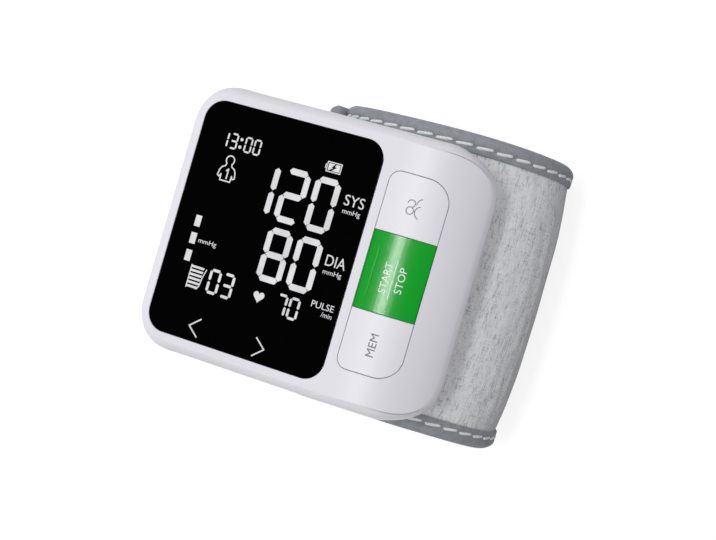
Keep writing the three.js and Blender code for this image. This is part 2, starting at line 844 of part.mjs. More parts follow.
function makePumpHead() {
  const points = roundedPlan(pumpX - pumpRadius, pumpX + pumpRadius, pumpZ - pumpRadius, pumpZ + pumpRadius,
    pumpHeadCorner);
  const head = prism(points, headNear, headFar);
  return cut(head, rodAlongY(chamberRadius, pumpX, pumpZ, headNear - overrun, headNear + chamberDepth));
}

// Exhaust valve beside the motor, with a plunger that shuts it

const valveLeft = pumpX + pumpRadius + valveGapToPump;
const valveNear = motorNear;
const valveFoot = floorTop + fit;
const saddleLeft = loopLeftAt(valveFoot, saddleGap + wall) - saddleClearance;
const valveWidth = (saddleLeft - valveLeft) * valveWidthShare;
const valveX = valveLeft + valveWidth / 2;
const valveZ = valveFoot + valveHeight / 2;
const valveFar = valveNear + valveLength;

function makeValve() {
  const valveTop = valveFoot + valveHeight;
  const points = roundedPlan(valveLeft, valveLeft + valveWidth, valveFoot, valveTop, valveCorner);
  const bore = rodAlongY(plungerRadius + fit, valveX, valveZ,
    valveFar - plungerSunk - plungerTravel - fit, valveFar + overrun, boreSides);
  return cut(prism(points, valveNear, valveFar), bore);
}

function makePlunger() {
  const plungerNear = valveFar - plungerSunk;
  return rodAlongY(plungerRadius, valveX, valveZ, plungerNear, valveFar + plungerProud, boreSides);
}

// Battery cell across the case's other half

function makeBattery() {
  const left = caseLeft + wall + sideDraw + batterySideGap;
  const near = headFar + batteryGap;
  const far = caseHalf - screwEdgeLeft - postRadius - batteryGap;
  const low = floorTop + fit;
  return barAlongX([near, far, low, low + batteryHeight, batteryCorner], left, saddleLeft);
}

// Air manifold over the bladder's port, and the tubes to it

const manifoldLeft = loopMiddle - manifoldWidth / 2;
const tubeEndZ = (manifoldLow + manifoldTop) / 2;

function makeManifold() {
  const half = manifoldLength / 2;
  const body = block(manifoldLeft, manifoldLeft + manifoldWidth, cuffShift - half, cuffShift + half,
    manifoldLow, manifoldTop);
  const bore = rod(portRadius + fit / 2, loopMiddle, cuffShift, manifoldLow - overrun, tubeEndZ, boreSides);
  return cut(body, bore);
}

function makeSensor() {
  const half = sensorSize / 2;
  return block(loopMiddle - half, loopMiddle + half, cuffShift - half, cuffShift + half,
    manifoldTop + seat, sensorTop);
}

function ring(radius, sides) {
  const points = [];
  for (let side = 0; side < sides; side += 1) {
    const angle = side / sides * Math.PI * 2;
    points.push(new THREE.Vector2(radius * Math.cos(angle), radius * Math.sin(angle)));
  }
  return points;
}

function makeTube(points) {
  const shape = new THREE.Shape(ring(tubeRadius, tubeSides));
  shape.holes.push(new THREE.Path(ring(tubeBore, tubeSides).reverse()));
  const extrudePath = new THREE.CatmullRomCurve3(points, false, 'centripetal');
  return solidOf(new THREE.ExtrudeGeometry(shape, { steps: tubeSteps, extrudePath }));
}

// A tube leaves one piece's right side, rises, and ends at the manifold's left side
function tubeRoute(fromX, fromY, fromZ, toY) {
  const toX = manifoldLeft - fit;
  const lead = tubeRadius * 2;
  const high = Math.max(fromZ, tubeEndZ);
  return [
    new THREE.Vector3(fromX + fit, fromY, fromZ),
    new THREE.Vector3(fromX + fit + lead, fromY, fromZ),
    new THREE.Vector3((fromX + toX) / 2, (fromY + toY) / 2, high),
    new THREE.Vector3(toX - lead, toY, tubeEndZ),
    new THREE.Vector3(toX, toY, tubeEndZ),
  ];
}

const pumpTubeY = (headNear + headFar) / 2;
const valveTubeY = valveNear + valveLength / 2;
const pumpTubeZ = pumpZ + pumpRadius - tubeRadius * 2;
const valveTubeZ = valveFoot + valveHeight - tubeRadius * 2;

// Cuff layers

const clothInner = (across, along) => swellAt(across, along) - clothThickness;
const plateOuter = (across, along) => clothInner(across, along) - fit;
const plateInner = (across, along) => plateOuter(across, along) - curlPlateThickness;
const bladderOuter = (across, along) => plateInner(across, along) - fit;
const liningInner = (across, along) => swellAt(across, along) - padAt(across, along);
const liningOuter = (across, along) => liningInner(across, along) + liningThickness;
const bladderInner = (across, along) => liningOuter(across, along) + fit;

const hingeGap = fit / 2;
const loopEnd = loop.length - hingeGap;
const platePlane = loopTop - clothThickness - fit;

function makeCuffCloth() {
  const cloth = layer(loop, 0, loopEnd, clothPlaces, swellAt, clothInner);
  const holes = studPlaces.map((y) => (
    rod(studRadius + fit, loopMiddle, y, platePlane - overrun, loopTop + overrun, boreSides)));
  const low = platePlane - overrun;
  const airHole = rod(portRadius + fit, loopMiddle, cuffShift, low, loopTop + overrun, boreSides);
  return cut(cloth, ...holes, airHole);
}

function makeCurlPlate() {
  const plate = layer(loop, paddingStart, paddingEnd, bladderPlaces, plateOuter, plateInner);
  const studs = studPlaces.map((y) => (
    rod(studRadius, loopMiddle, y, platePlane - curlPlateThickness / 2, studTop, boreSides)));
  const low = platePlane - curlPlateThickness - overrun;
  const airHole = rod(portRadius + fit, loopMiddle, cuffShift, low, loopTop, boreSides);
  return cut(join(plate, ...studs), airHole);
}

function makeBladder() {
  const bag = layer(loop, paddingStart, paddingEnd, bladderPlaces, bladderOuter, bladderInner);
  const bagTop = platePlane - curlPlateThickness - fit;
  const port = rod(portRadius, loopMiddle, cuffShift, bagTop - fit, tubeEndZ - fit, boreSides);
  const bore = rod(portBore, loopMiddle, cuffShift, bagTop - fit, tubeEndZ + overrun, boreSides);
  return cut(bag.add(port), bore);
}

function makeCuffLining() {
  return layer(loop, 0, loopEnd, clothPlaces, liningOuter, liningInner);
}

// Tail layers

const tailStart = hingeGap;
const hookPadStart = tail.starts[1] + fit;
const hookPadEnd = tail.length - bindingWidth - hookPadMargin;
const hookPadHalf = cuffHalf - hookPadSide;
const tailLiningFoot = -tailThickness;

function flatLayer(from, to, half, outer, inner) {
  return layer(tail, from, to, [half, half / 2, 0], () => outer, () => inner);
}

// Materials

function finish(color, roughness, metalness = 0) {
  return new THREE.MeshStandardMaterial({ color, roughness, metalness });
}

const whiteCase = finish('#e9e7f0', 0.35);
const blackGlass = finish('#050507', 0.1);
const greenKey = finish('#12a02b', 0.35);
const greyCloth = finish('#c8cccf', 0.9);
const greyTape = finish('#8b9095', 0.8);
const blackPad = finish('#2b2d31', 0.95);
const clearPlate = finish('#d9dde0', 0.4);
const rubberBag = finish('#3b3d42', 0.7);
const liquidCrystal = finish('#20262a', 0.2);
const milkyPanel = finish('#f4f5f2', 0.5);
const blackPlastic = finish('#1c1d20', 0.5);
const greenBoard = finish('#1d5c38', 0.5);
const steel = finish('#b9bcc0', 0.3, 1);
const greyPlastic = finish('#8e9296', 0.5);
const silicone = finish('#dfe2e2', 0.6);
const blueCell = finish('#2f5fa8', 0.4);

// Assembly

const monitor = new THREE.Group();

function place(name, solid, material) {
  const mesh = new THREE.Mesh(geometryOf(solid), material);
  mesh.name = name;
  monitor.add(mesh);
}

place('front_cover', makeFrontCover(), whiteCase);
place('rear_cover', makeRearCover(), whiteCase);
place('display_window', makeWindow(), blackGlass);
place('lcd_panel', lcdPlate(lcdFoot, lcdTop, 0), liquidCrystal);
place('backlight_panel', lcdPlate(boardTop + fit, lcdFoot - fit, 0), milkyPanel);
place('lcd_frame', makeLcdFrame(), blackPlastic);
place('main_board', makeBoard(), greenBoard);

const keys = [
  ['user', startHalf + keyGap / 2, stripHalf + overrun, outerKeyMiddle, whiteCase],
  ['start_stop', keyGap / 2 - startHalf, startHalf - keyGap / 2, 0, greenKey],
  ['memory', -stripHalf - overrun, -startHalf - keyGap / 2, -outerKeyMiddle, whiteCase],
];
for (const [name, low, high, stemY, material] of keys) {
  place(`${name}_key`, makeKey(low, high, stemY), material);
  place(`${name}_switch`, makeSwitch(stemY), blackPlastic);
  place(`${name}_switch_button`, makeButton(stemY), greyPlastic);
}

screwPlaces.forEach((where, number) => {
  place(`case_screw_${number + 1}`, makeScrew(where), steel);
});

place('pump_motor', makeMotor(), steel);
place('pump_rotor', makeRotor(), steel);
place('pump_head', makePumpHead(), greyPlastic);
place('exhaust_valve', makeValve(), greyPlastic);
place('valve_plunger', makePlunger(), steel);
place('battery_cell', makeBattery(), blueCell);
place('charging_socket', makeSocket(), steel);
place('air_manifold', makeManifold(), greyPlastic);
place('pressure_sensor', makeSensor(), blackPlastic);
const pumpRoute = tubeRoute(pumpX + pumpRadius, pumpTubeY, pumpTubeZ, cuffShift + tubeSpread);
const valveRoute = tubeRoute(valveLeft + valveWidth, valveTubeY, valveTubeZ, cuffShift - tubeSpread);
place('pump_tube', makeTube(pumpRoute), silicone);
place('valve_tube', makeTube(valveRoute), silicone);

place('cuff_cloth', makeCuffCloth(), greyCloth);
place('curl_plate', makeCurlPlate(), clearPlate);
place('air_bladder', makeBladder(), rubberBag);
place('cuff_lining', makeCuffLining(), greyCloth);
place('cuff_binding_upper', sideTape(loop, -bindingFold, loopEnd, hemThickness, 1), greyTape);
place('cuff_binding_lower', sideTape(loop, -bindingFold, loopEnd, hemThickness, -1), greyTape);
place('start_end_binding', endTape(loop, -bindingFold, hemThickness, -1), greyTape);

const tailEnd = tail.length - bindingFold;
place('tail_cloth', flatLayer(tailStart, tailEnd, clothHalf, 0, -clothThickness), greyCloth);
place('tail_lining', flatLayer(tailStart, tailEnd, clothHalf,
  -clothThickness - fit, tailLiningFoot), greyCloth);
place('hook_pad', flatLayer(hookPadStart, hookPadEnd, hookPadHalf,
  tailLiningFoot - fit, tailLiningFoot - fit - hookPadThickness), blackPad);
place('tail_binding_upper', sideTape(tail, tailStart, tail.length, tailThickness, 1), greyTape);
place('tail_binding_lower', sideTape(tail, tailStart, tail.length, tailThickness, -1), greyTape);
place('tail_end_binding', endTape(tail, tail.length, tailThickness, 1), greyTape);

// Set down on its cuff: the origin is under the middle of the object
const reach = new THREE.Box3().setFromObject(monitor);
const middle = reach.getCenter(new THREE.Vector3());
monitor.position.set(-middle.x, -middle.y, -reach.min.z);

export default monitor;
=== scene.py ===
import math

import bmesh
import bpy
import numpy as np
from mathutils import Matrix, Vector, noise


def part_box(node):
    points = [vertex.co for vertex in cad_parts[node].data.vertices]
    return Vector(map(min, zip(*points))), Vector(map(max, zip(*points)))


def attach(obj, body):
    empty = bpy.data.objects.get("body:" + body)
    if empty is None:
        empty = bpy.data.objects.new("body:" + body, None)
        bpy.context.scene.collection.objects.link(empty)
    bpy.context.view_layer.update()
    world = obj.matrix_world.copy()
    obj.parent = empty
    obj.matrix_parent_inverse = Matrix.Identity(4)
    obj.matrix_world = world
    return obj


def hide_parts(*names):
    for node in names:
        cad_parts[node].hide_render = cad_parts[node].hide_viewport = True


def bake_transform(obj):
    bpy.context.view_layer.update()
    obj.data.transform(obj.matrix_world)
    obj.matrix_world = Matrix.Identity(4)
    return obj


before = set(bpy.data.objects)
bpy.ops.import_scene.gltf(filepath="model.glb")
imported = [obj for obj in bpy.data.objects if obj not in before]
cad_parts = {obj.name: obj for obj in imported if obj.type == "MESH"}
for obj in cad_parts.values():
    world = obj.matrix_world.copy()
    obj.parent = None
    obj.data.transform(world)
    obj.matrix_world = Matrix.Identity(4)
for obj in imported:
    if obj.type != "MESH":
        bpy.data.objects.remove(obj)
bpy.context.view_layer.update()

# ---------------------------------------------------------------------------------------------
# Camera: a long lens above the right end of the case, tilted as in the photograph.
camera_data = bpy.data.cameras.new("camera")
camera_data.lens = 85.475
camera_data.sensor_width = 36.0
camera_data.sensor_fit = "HORIZONTAL"
camera_data.clip_start = 0.02
camera_data.clip_end = 50.0
camera = bpy.data.objects.new("camera", camera_data)
bpy.context.scene.collection.objects.link(camera)
bpy.context.scene.camera = camera
camera.matrix_world = Matrix((
    (0.87985, -0.26550, 0.39418, 0.165575),
    (0.28149, 0.95940, 0.01789, 0.004660),
    (-0.38293, 0.09522, 0.91886, 0.422180),
    (0.0, 0.0, 0.0, 1.0),
))

# ---------------------------------------------------------------------------------------------
# Studio: a large sheet of card under the monitor that the camera sees as white, a room that is
# pale on the left and dimmer on the right, and a strip lamp overhead that draws one streak.


def linear(code, level=1.0):
    """Turns an sRGB hex colour into the linear values that the shader takes, at a level."""
    parts = [int(code[place:place + 2], 16) / 255 for place in (1, 3, 5)]
    parts = [part / 12.92 if part <= 0.04045 else ((part + 0.055) / 1.055) ** 2.4 for part in parts]
    return [min(part * level, 1.0) for part in parts] + [1.0]


def add_node(tree, kind, inputs=None, stops=(), **settings):
    """Adds one node, with its settings, a ramp's stops, its fixed inputs and the links into it."""
    made = tree.nodes.new("ShaderNode" + kind)
    for name, value in settings.items():
        setattr(made, name, value)
    for number, (place, colour) in enumerate(stops):
        elements = made.color_ramp.elements
        stop = elements[number] if number < 2 else elements.new(place)
        stop.position, stop.color = place, colour
    for name, value in (inputs or {}).items():
        if isinstance(value, bpy.types.Node):
            value = value.outputs[0]
        if isinstance(value, bpy.types.NodeSocket):
            tree.links.new(value, made.inputs[name])
        else:
            made.inputs[name].default_value = value
    return made


def empty_tree(owner):
    owner.use_nodes = True
    owner.node_tree.nodes.clear()
    return owner.node_tree


card = bpy.data.materials.new("white_studio_card")
tree = empty_tree(card)
rays = add_node(tree, "LightPath").outputs
seen = add_node(tree, "Math", {0: rays["Is Camera Ray"], 1: rays["Is Glossy Ray"]}, operation="MAXIMUM")
seen = add_node(tree, "Math", {0: seen, 1: rays["Is Transmission Ray"]}, operation="MAXIMUM")
glow = add_node(tree, "Math", {0: seen, 1: 0.82}, operation="MULTIPLY")
# What the floor throws back up is kept low, as from a table that is white only under the monitor
tone = add_node(tree, "Mix", {0: rays["Is Diffuse Ray"], 6: linear("#969698"), 7: linear("#5c5c5e")},
                data_type="RGBA")
matt = add_node(tree, "BsdfDiffuse", {"Color": tone.outputs[2]})
white = add_node(tree, "Emission", {"Color": (1.0, 1.0, 1.0, 1.0), "Strength": glow})
add_node(tree, "OutputMaterial", {"Surface": add_node(tree, "AddShader", {0: matt, 1: white})})

floor_mesh = bpy.data.meshes.new("studio_floor")
shape = bmesh.new()
bmesh.ops.create_grid(shape, x_segments=1, y_segments=1, size=6.0)
shape.to_mesh(floor_mesh)
shape.free()
floor_mesh.materials.append(card)
floor = bpy.data.objects.new("studio_floor", floor_mesh)
floor.location = (0.0, 0.0, -0.0002)
bpy.context.scene.collection.objects.link(floor)

# The room lights matt surfaces from its walls, and shows its ceiling in polished ones
bpy.context.scene.view_settings.view_transform = "Standard"
world = bpy.data.worlds.new("pale_room")
bpy.context.scene.world = world
tree = empty_tree(world)
rays = add_node(tree, "LightPath").outputs
toward = add_node(tree, "SeparateXYZ", {0: add_node(tree, "TexCoord").outputs["Generated"]}).outputs
ceiling = add_node(tree, "MapRange", {"Value": toward["Z"], "From Min": 0.45, "From Max": 0.80,
                                      "To Min": 0.95, "To Max": 0.01}, interpolation_type="SMOOTHSTEP")
walls = add_node(tree, "MapRange", {"Value": toward["X"], "From Min": -1.0, "From Max": 1.0,
                                    "To Min": 1.12, "To Max": 0.23})
seen = add_node(tree, "Math", {0: rays["Is Camera Ray"], 1: rays["Is Transmission Ray"]},
                operation="MAXIMUM")
room = add_node(tree, "Mix", {0: rays["Is Glossy Ray"], 2: walls, 3: ceiling}, data_type="FLOAT")
strength = add_node(tree, "Mix", {0: seen, 2: room, 3: 1.0}, data_type="FLOAT")
sky = add_node(tree, "Background", {"Color": (1.0, 1.0, 1.0, 1.0), "Strength": strength})
add_node(tree, "OutputWorld", {"Surface": sky})

for name, place, turn, size, power, mirrored in (
    ("overhead_strip_lamp", (0.072, 0.0, 0.86), (0.0, 0.0, 0.0), (0.095, 0.45), 1.75, True),
    ("right_fill_lamp", (0.75, 0.42, 0.30), (1.271, 0.0, 2.089), (0.50, 0.40), 0.6, False),
):
    lamp_data = bpy.data.lights.new(name, "AREA")
    lamp_data.shape = "RECTANGLE"
    lamp_data.size, lamp_data.size_y = size
    lamp_data.energy = power
    lamp = bpy.data.objects.new(name, lamp_data)
    lamp.location = place
    lamp.rotation_euler = turn
    lamp.visible_glossy = mirrored
    bpy.context.scene.collection.objects.link(lamp)

# ---------------------------------------------------------------------------------------------
# Front cover: the upper half of the case, moulded in white ABS with a satin face. It is flat
# over the display and rolls down to the seam at its right end.
wall, fit, overrun = 1.8, 0.3, 4.0
window_plan = (-24.05, 24.05, -28.65, 28.65, 5.0, 5.0)
window_gap = 0.06
flank_left, flank_side, end_margin = 3.95, 2.1, 0.3
face_radius, roll_radius = 38.7, 20.2
face_flat_end, roll_start = 24.5, 38.0
face_edge, seam_edge = 0.35, 0.12
seam_depth, seam_dip = 9.2, 3.4
case_left, case_right, case_half = -28.65, 48.7, 33.0
case_corners = (9.0, 12.0)
face_corners, face_powers = (9.0, 12.0), (2.3, 3.2)
strip = (26.55, 41.15, -23.6, 23.6, 2.8, 5.6)
screw_places = [(x, y * way) for x, y in ((-22.65, 26.8), (41.0, 25.1)) for way in (1, -1)]
screw_hole = 1.05
view_plan = (-18.7, 18.7, -22.95, 22.95, 0.8, 0.8)

low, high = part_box("display_window")
SET_DOWN = Matrix.Translation(((low.x + high.x) / 2, (low.y + high.y) / 2, high.z)) @ Matrix.Scale(0.001, 4)


def portion(value, start, end):
    """How far a value has come from start to end, from 0 to 1."""
    return min(max((value - start) / (end - start), 0.0), 1.0)


def face_height(x):
    """Height of the case's face at x: flat, then a wide arc, then a closer one down to the rim."""
    along = max(0.0, min(x, roll_start) - face_flat_end)
    turned = (roll_start - face_flat_end) / face_radius
    rolled = min(turned + max(0.0, x - roll_start) / roll_radius, 0.96)
    roll_drop = roll_radius * (math.sqrt(1 - turned ** 2) - math.sqrt(1 - rolled ** 2))
    return math.sqrt(face_radius ** 2 - along ** 2) - face_radius - (roll_drop if x > roll_start else 0.0)


def below_face(drop):
    return lambda x: face_height(x) - drop


def seam_height(x):
    """The seam between the covers is level, and dips round the corners to the right end's rim."""
    return -seam_depth - seam_dip * portion(x, 36.0, 48.0)


def rim_point(home, out, side):
    """A point of the case's outline: out mm outside the edge of its face, plus a share of the
    flank below that edge, which narrows to nothing round the right end's corners."""
    right = home.x >= (case_left + case_right) / 2
    way_x, way_y = (1 if right else -1), (1 if home.y > 0 else -1)
    corner, radius, power = case_corners[right], face_corners[right], face_powers[right]
    starts = (case_left + case_corners[0], case_right - case_corners[1])
    face_starts = (case_left + flank_left + face_corners[0], case_right - end_margin - face_corners[1])
    half = case_half - flank_side
    if (home.x - starts[right]) * way_x <= 1e-6:
        x, y, across, up = float(np.interp(home.x, starts, face_starts)), half, 0.0, 1.0
    else:
        level = abs(home.y) - (case_half - corner)
        angle = math.atan2(max(level, 0.0), (home.x - starts[right]) * way_x)
        across, up = math.cos(angle), math.sin(angle)
        reach = radius * (across ** power + up ** power) ** (-1 / power)
        x, y = face_starts[right] + way_x * reach * across, half - radius + reach * up
        if level < -1e-6:
            y = abs(home.y) * (half - radius) / (case_half - corner)
        across, up = across ** (power - 1), up ** (power - 1)
        size = math.hypot(across, up)
        across, up = across / size, up / size
    narrowed = 0.4 * portion(x, 26.0, 38.0)
    flank = (flank_side + narrowed) * max(portion(x, 46.3, 37.3), 0.12)
    if not right:
        flank = flank_side + (flank_left - flank_side) * across
    reach = out + side * flank
    return x + way_x * across * reach, way_y * (y - narrowed * y / half + up * reach)


def outline_point(point, base, ring):
    """Moves a point of one rounded outline to the same place on another: straight parts and
    corners each stretch on their own."""
    def marks(low, high, first, last):
        return low, low + first, high - last, high
    side = 4 if point.x < base[0] + base[4] else 5
    x_marks, y_marks = ([marks(*plan[:2], *plan[4:]) for plan in (base, ring)],
                        [marks(*plan[2:4], plan[side], plan[side]) for plan in (base, ring)])
    return float(np.interp(point.x, *x_marks)), float(np.interp(point.y, *y_marks))


def grown(ring, margin):
    left, right, near, far, round_left, round_right = ring
    return (left - margin, right + margin, near - margin, far + margin,
            max(round_left + margin, 0.05), max(round_right + margin, 0.05))


def stacked(base, levels, bends=False, steps=14):
    """A closed body through level outlines, from the first to the last. An outline is a margin
    round the base, two values for rim_point, or its own six. Where the face bends, the body is
    ruled along Y by cuts at the same places."""
    left, right, near, far, round_left, round_right = base
    shape = bmesh.new()
    corners = [shape.verts.new((x, y, 0))
               for x, y in ((left, near), (right, near), (right, far), (left, far))]
    shape.faces.new(corners)
    for pair, radius in (((corners[0], corners[3]), round_left), ((corners[1], corners[2]), round_right)):
        bmesh.ops.bevel(shape, geom=list(pair), offset=radius, affect="VERTICES", segments=steps,
                        profile=0.5, material=-1)
    if bends:
        stations = {round(v.co.x, 4) for v in shape.verts if face_flat_end < v.co.x < right - 0.02}
        x = max(face_flat_end, left + round_left) + 0.5
        while x < right - round_right - 0.3:
            stations.add(x)
            x += 0.9
        for x in sorted(stations):
            geom = shape.verts[:] + shape.edges[:] + shape.faces[:]
            bmesh.ops.bisect_plane(shape, geom=geom, dist=1e-3, plane_co=(x, 0, 0), plane_no=(1, 0, 0))
    home = shape.verts.layers.float_vector.new("home")
    for point in shape.verts:
        point[home] = point.co
    cap = shape.faces[:]
    for step, (ring, level) in enumerate(levels):
        if step:
            edges = dict.fromkeys(edge for face in cap for edge in face.edges)
            points = dict.fromkeys(point for face in cap for point in face.verts)
            made = bmesh.ops.extrude_face_region(shape, geom=[*cap, *edges, *points])["geom"]
            cap = [part for part in made if isinstance(part, bmesh.types.BMFace)]
        ring = grown(base, ring) if isinstance(ring, (int, float)) else ring
        for point in dict.fromkeys(point for face in cap for point in face.verts):
            place = point[home]
            x, y = rim_point(place, *ring) if len(ring) == 2 else outline_point(place, base, ring)
            point.co = (x, y, level(x) if callable(level) else level)
    return facing_out(shape)


def facing_out(shape):
    """Turns the faces of a closed body outward."""
    bmesh.ops.recalc_face_normals(shape, faces=shape.faces[:])
    if shape.calc_volume(signed=True) < 0:
        bmesh.ops.reverse_faces(shape, faces=shape.faces[:])
    return shape


def raised(shape, faces, way):
    """Extrudes flat faces into closed bodies."""
    made = bmesh.ops.extrude_face_region(shape, geom=faces, use_keep_orig=True)["geom"]
    top = [part for part in made if isinstance(part, bmesh.types.BMVert)]
    bmesh.ops.translate(shape, verts=top, vec=way)
    return top


def rod(radius, x, y, bottom, top, sides=32):
    """A closed rod that stands at x, y."""
    shape = bmesh.new()
    bmesh.ops.create_cone(shape, cap_ends=True, segments=sides, radius1=radius, radius2=radius,
                          depth=top - bottom)
    bmesh.ops.translate(shape, verts=shape.verts, vec=(x, y, (bottom + top) / 2))
    return shape


def as_object(name, shape):
    mesh = bpy.data.meshes.new(name)
    shape.to_mesh(mesh)
    shape.free()
    made = bpy.data.objects.new(name, mesh)
    bpy.context.scene.collection.objects.link(made)
    return made


def as_mesh(source):
    return bpy.data.meshes.new_from_object(source.evaluated_get(bpy.context.evaluated_depsgraph_get()))


def carved(shape, *steps):
    """Joins closed bodies to a shape, cuts them away or keeps what they share, step by step."""
    body = as_object("body", shape)
    for way, tools in steps:
        for tool in tools:
            cutter = as_object("cutter", tool)
            modifier = body.modifiers.new("cut", "BOOLEAN")
            modifier.operation = way
            modifier.solver = "EXACT"
            modifier.object = cutter
            result = as_mesh(body)
            body.modifiers.clear()
            body.data = result
            bpy.data.objects.remove(cutter)
    done = bmesh.new()
    done.from_mesh(body.data)
    bpy.data.objects.remove(body)
    bmesh.ops.remove_doubles(done, verts=done.verts, dist=1e-4)
    bmesh.ops.dissolve_degenerate(done, dist=1e-4, edges=done.edges)
    return done


def finished(name, shape, material, body, replaces=(), sharp=32.0, weighted=True):
    """Sets a piece down in its place, smooths it up to its sharp edges, and lets it ride."""
    bmesh.ops.transform(shape, matrix=SET_DOWN, verts=shape.verts)
    made = as_object(name, shape)
    made.data.shade_smooth()
    for face in made.data.polygons:
        face.use_smooth = face.area < 4e-5 or max(abs(part) for part in face.normal) < 0.99999
    made.data.set_sharp_from_angle(angle=math.radians(sharp))
    if weighted:
        modifier = made.modifiers.new("weighted_normals", "WEIGHTED_NORMAL")
        modifier.keep_sharp = True
        modifier.weight = 60
    made.data.materials.append(material)
    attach(made, body)
    if replaces:
        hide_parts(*replaces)


def plastic(name, colour, roughness, ior, grain_mm, bump, spread=0.03):
    """A moulded plastic: its colour drifts slightly, and a fine spark-eroded grain breaks its gloss."""
    material = bpy.data.materials.new(name)
    tree = empty_tree(material)
    place = add_node(tree, "TexCoord").outputs["Object"]
    grain = add_node(tree, "TexNoise", {"Vector": place, "Scale": 1000 / grain_mm, "Detail": 3.0,
                                        "Roughness": 0.6})
    drift = add_node(tree, "TexNoise", {"Vector": place, "Scale": 45.0, "Detail": 2.0})
    tints = add_node(tree, "ValToRGB", {0: drift}, stops=((0.3, linear(colour, 1 - spread)),
                                                          (0.7, linear(colour, 1 + spread))))
    rough = add_node(tree, "MapRange", {"Value": grain, "From Min": 0.3, "From Max": 0.7,
                                        "To Min": roughness - 0.04, "To Max": roughness + 0.05})
    relief = add_node(tree, "Bump", {"Height": grain, "Strength": bump, "Distance": 0.00003})
    shader = add_node(tree, "BsdfPrincipled", {"Base Color": tints, "Roughness": rough, "IOR": ior,
                                               "Normal": relief})
    add_node(tree, "OutputMaterial", {"Surface": shader})
    return material


# White ABS from a fine spark-eroded mould: satin, very slightly lilac
white_abs = plastic("white_satin_abs", "#eae8f0", 0.34, 1.54, 0.45, 0.12, spread=0.012)

case_plan = (case_left, case_right, -case_half, case_half, *case_corners)


def front_levels(skin, foot):
    """Level lines of the front cover: a small rounded edge, a fine groove that opens round the
    right end's corners, a sloped flank, and the seam."""
    def under(drop, share, groove=0.0):
        def level(x):
            top = face_height(x) - skin - drop
            opened = groove * min(portion(x, 36.0, 40.0), portion(x, 47.4, 45.9))
            return top + (seam_height(x) - skin - top) * share - opened
        return level
    levels = []
    for step in range(4):
        angle = step / 3 * math.pi / 3
        edge = face_edge * (math.sin(angle) - 1) - skin
        levels.append(((edge, 0.0), under(face_edge * (1 - math.cos(angle)), 0.0)))
    if not skin:
        drop = face_edge / 2
        levels += [((edge + 0.02, 0.0), under(drop + 0.04, 0.0, 0.6)),
                   ((edge + 0.10, 0.01), under(drop + 0.08, 0.0, 0.6)),
                   ((edge + 0.12, 0.02), under(drop + 0.10, 0.0))]
    levels += [((-skin, side), under(face_edge, share)) for side, share in (
        (0.33, 0.05), (0.60, 0.13), (0.76, 0.24), (0.89, 0.46), (0.97, 0.74))]
    if skin:
        return levels + [((-skin, 1.0), foot)]
    return levels + [((0.0, 1.0), lambda x: seam_height(x) + seam_edge), ((-seam_edge, 1.0), seam_height)]


front = stacked(case_plan, front_levels(0.0, None), bends=True, steps=24)
inner = stacked(case_plan, front_levels(wall, -seam_depth - 3.0 - overrun), bends=True, steps=24)
plinth = stacked(window_plan, [(1.2, -3.0), (1.2, -wall / 2)])
recess = stacked(window_plan, [(window_gap + 0.12, overrun), (window_gap + 0.12, 0.02),
                               (window_gap + 0.04, -0.03), (window_gap, -0.12), (window_gap, -1.8)])
view = stacked(view_plan, [(0, overrun), (0, -3.0 - overrun)])
opening = stacked(strip, [(0.10, below_face(-overrun)), (0.10, below_face(-0.03)), (0.03, below_face(0.03)),
                          (0, below_face(0.12)), (0, -seam_depth - overrun)], bends=True)
bosses = [rod(2.15, x, y, seam_height(x) + 0.2, face_height(x + 2.15) - wall / 2) for x, y in screw_places]
holes = [rod(screw_hole, x, y, -seam_depth - overrun, face_height(x) - wall - 1.1, 16)
         for x, y in screw_places]
front = carved(front, ("DIFFERENCE", [inner]), ("UNION", [plinth, *bosses]),
               ("DIFFERENCE", [recess, view, opening, *holes]))
finished("front_cover_shell", front, white_abs, "case_and_cuff", ["front_cover"])

# ---------------------------------------------------------------------------------------------
# Display window: a flush plate of black-backed acrylic, polished, with a small rounded edge.
black_acrylic = plastic("black_backed_acrylic", "#020203", 0.08, 1.49, 0.6, 0.004, spread=0.05)
window = stacked(window_plan, [(-0.10, 0.0), (-0.03, -0.03), (0, -0.10), (0, -1.5)])
finished("window_plate", window, black_acrylic, "case_and_cuff", ["display_window"])

# ---------------------------------------------------------------------------------------------
# Display marks: the segments, words and small signs of a white-on-black liquid crystal, lit
# from behind. Each is a thin raised film, so that it keeps its place seen from the side.
mark_rise, mark_foot = 0.02, 0.004
lit = bpy.data.materials.new("lit_liquid_crystal")
tree = empty_tree(lit)
place = add_node(tree, "TexCoord").outputs["Object"]
patches = add_node(tree, "TexNoise", {"Vector": place, "Scale": 160.0, "Detail": 2.0})
glow = add_node(tree, "ValToRGB", {0: patches}, stops=((0.35, linear("#dcdcdf")), (0.65, linear("#ececee"))))
shader = add_node(tree, "BsdfPrincipled", {
    "Base Color": linear("#1c1c1e"), "Roughness": 0.3, "IOR": 1.49, "Emission Color": glow,
    "Emission Strength": 0.92})
add_node(tree, "OutputMaterial", {"Surface": shader})

# Which of a figure's seven bars are lit, and where each bar runs: from a column and row of the
# figure's corners and middles to another
figure_bars = {"0": "abcdef", "1": "bc", "2": "abged", "3": "abgcd", "7": "abc", "8": "abcdefg"}
bar_runs = {"a": (0, 0, 1, 0), "g": (0, 1, 1, 1), "d": (0, 2, 1, 2), "f": (0, 0, 0, 1), "b": (1, 0, 1, 1),
            "e": (0, 1, 0, 2), "c": (1, 1, 1, 2)}


def flat_shape(shape, points):
    """One flat outline, lifted off the window by the film's thickness."""
    face = shape.faces.new([shape.verts.new((x, y, mark_foot)) for x, y in points])
    face.normal_update()
    if face.normal.z < 0:
        face.normal_flip()
    raised(shape, [face], (0, 0, mark_rise))


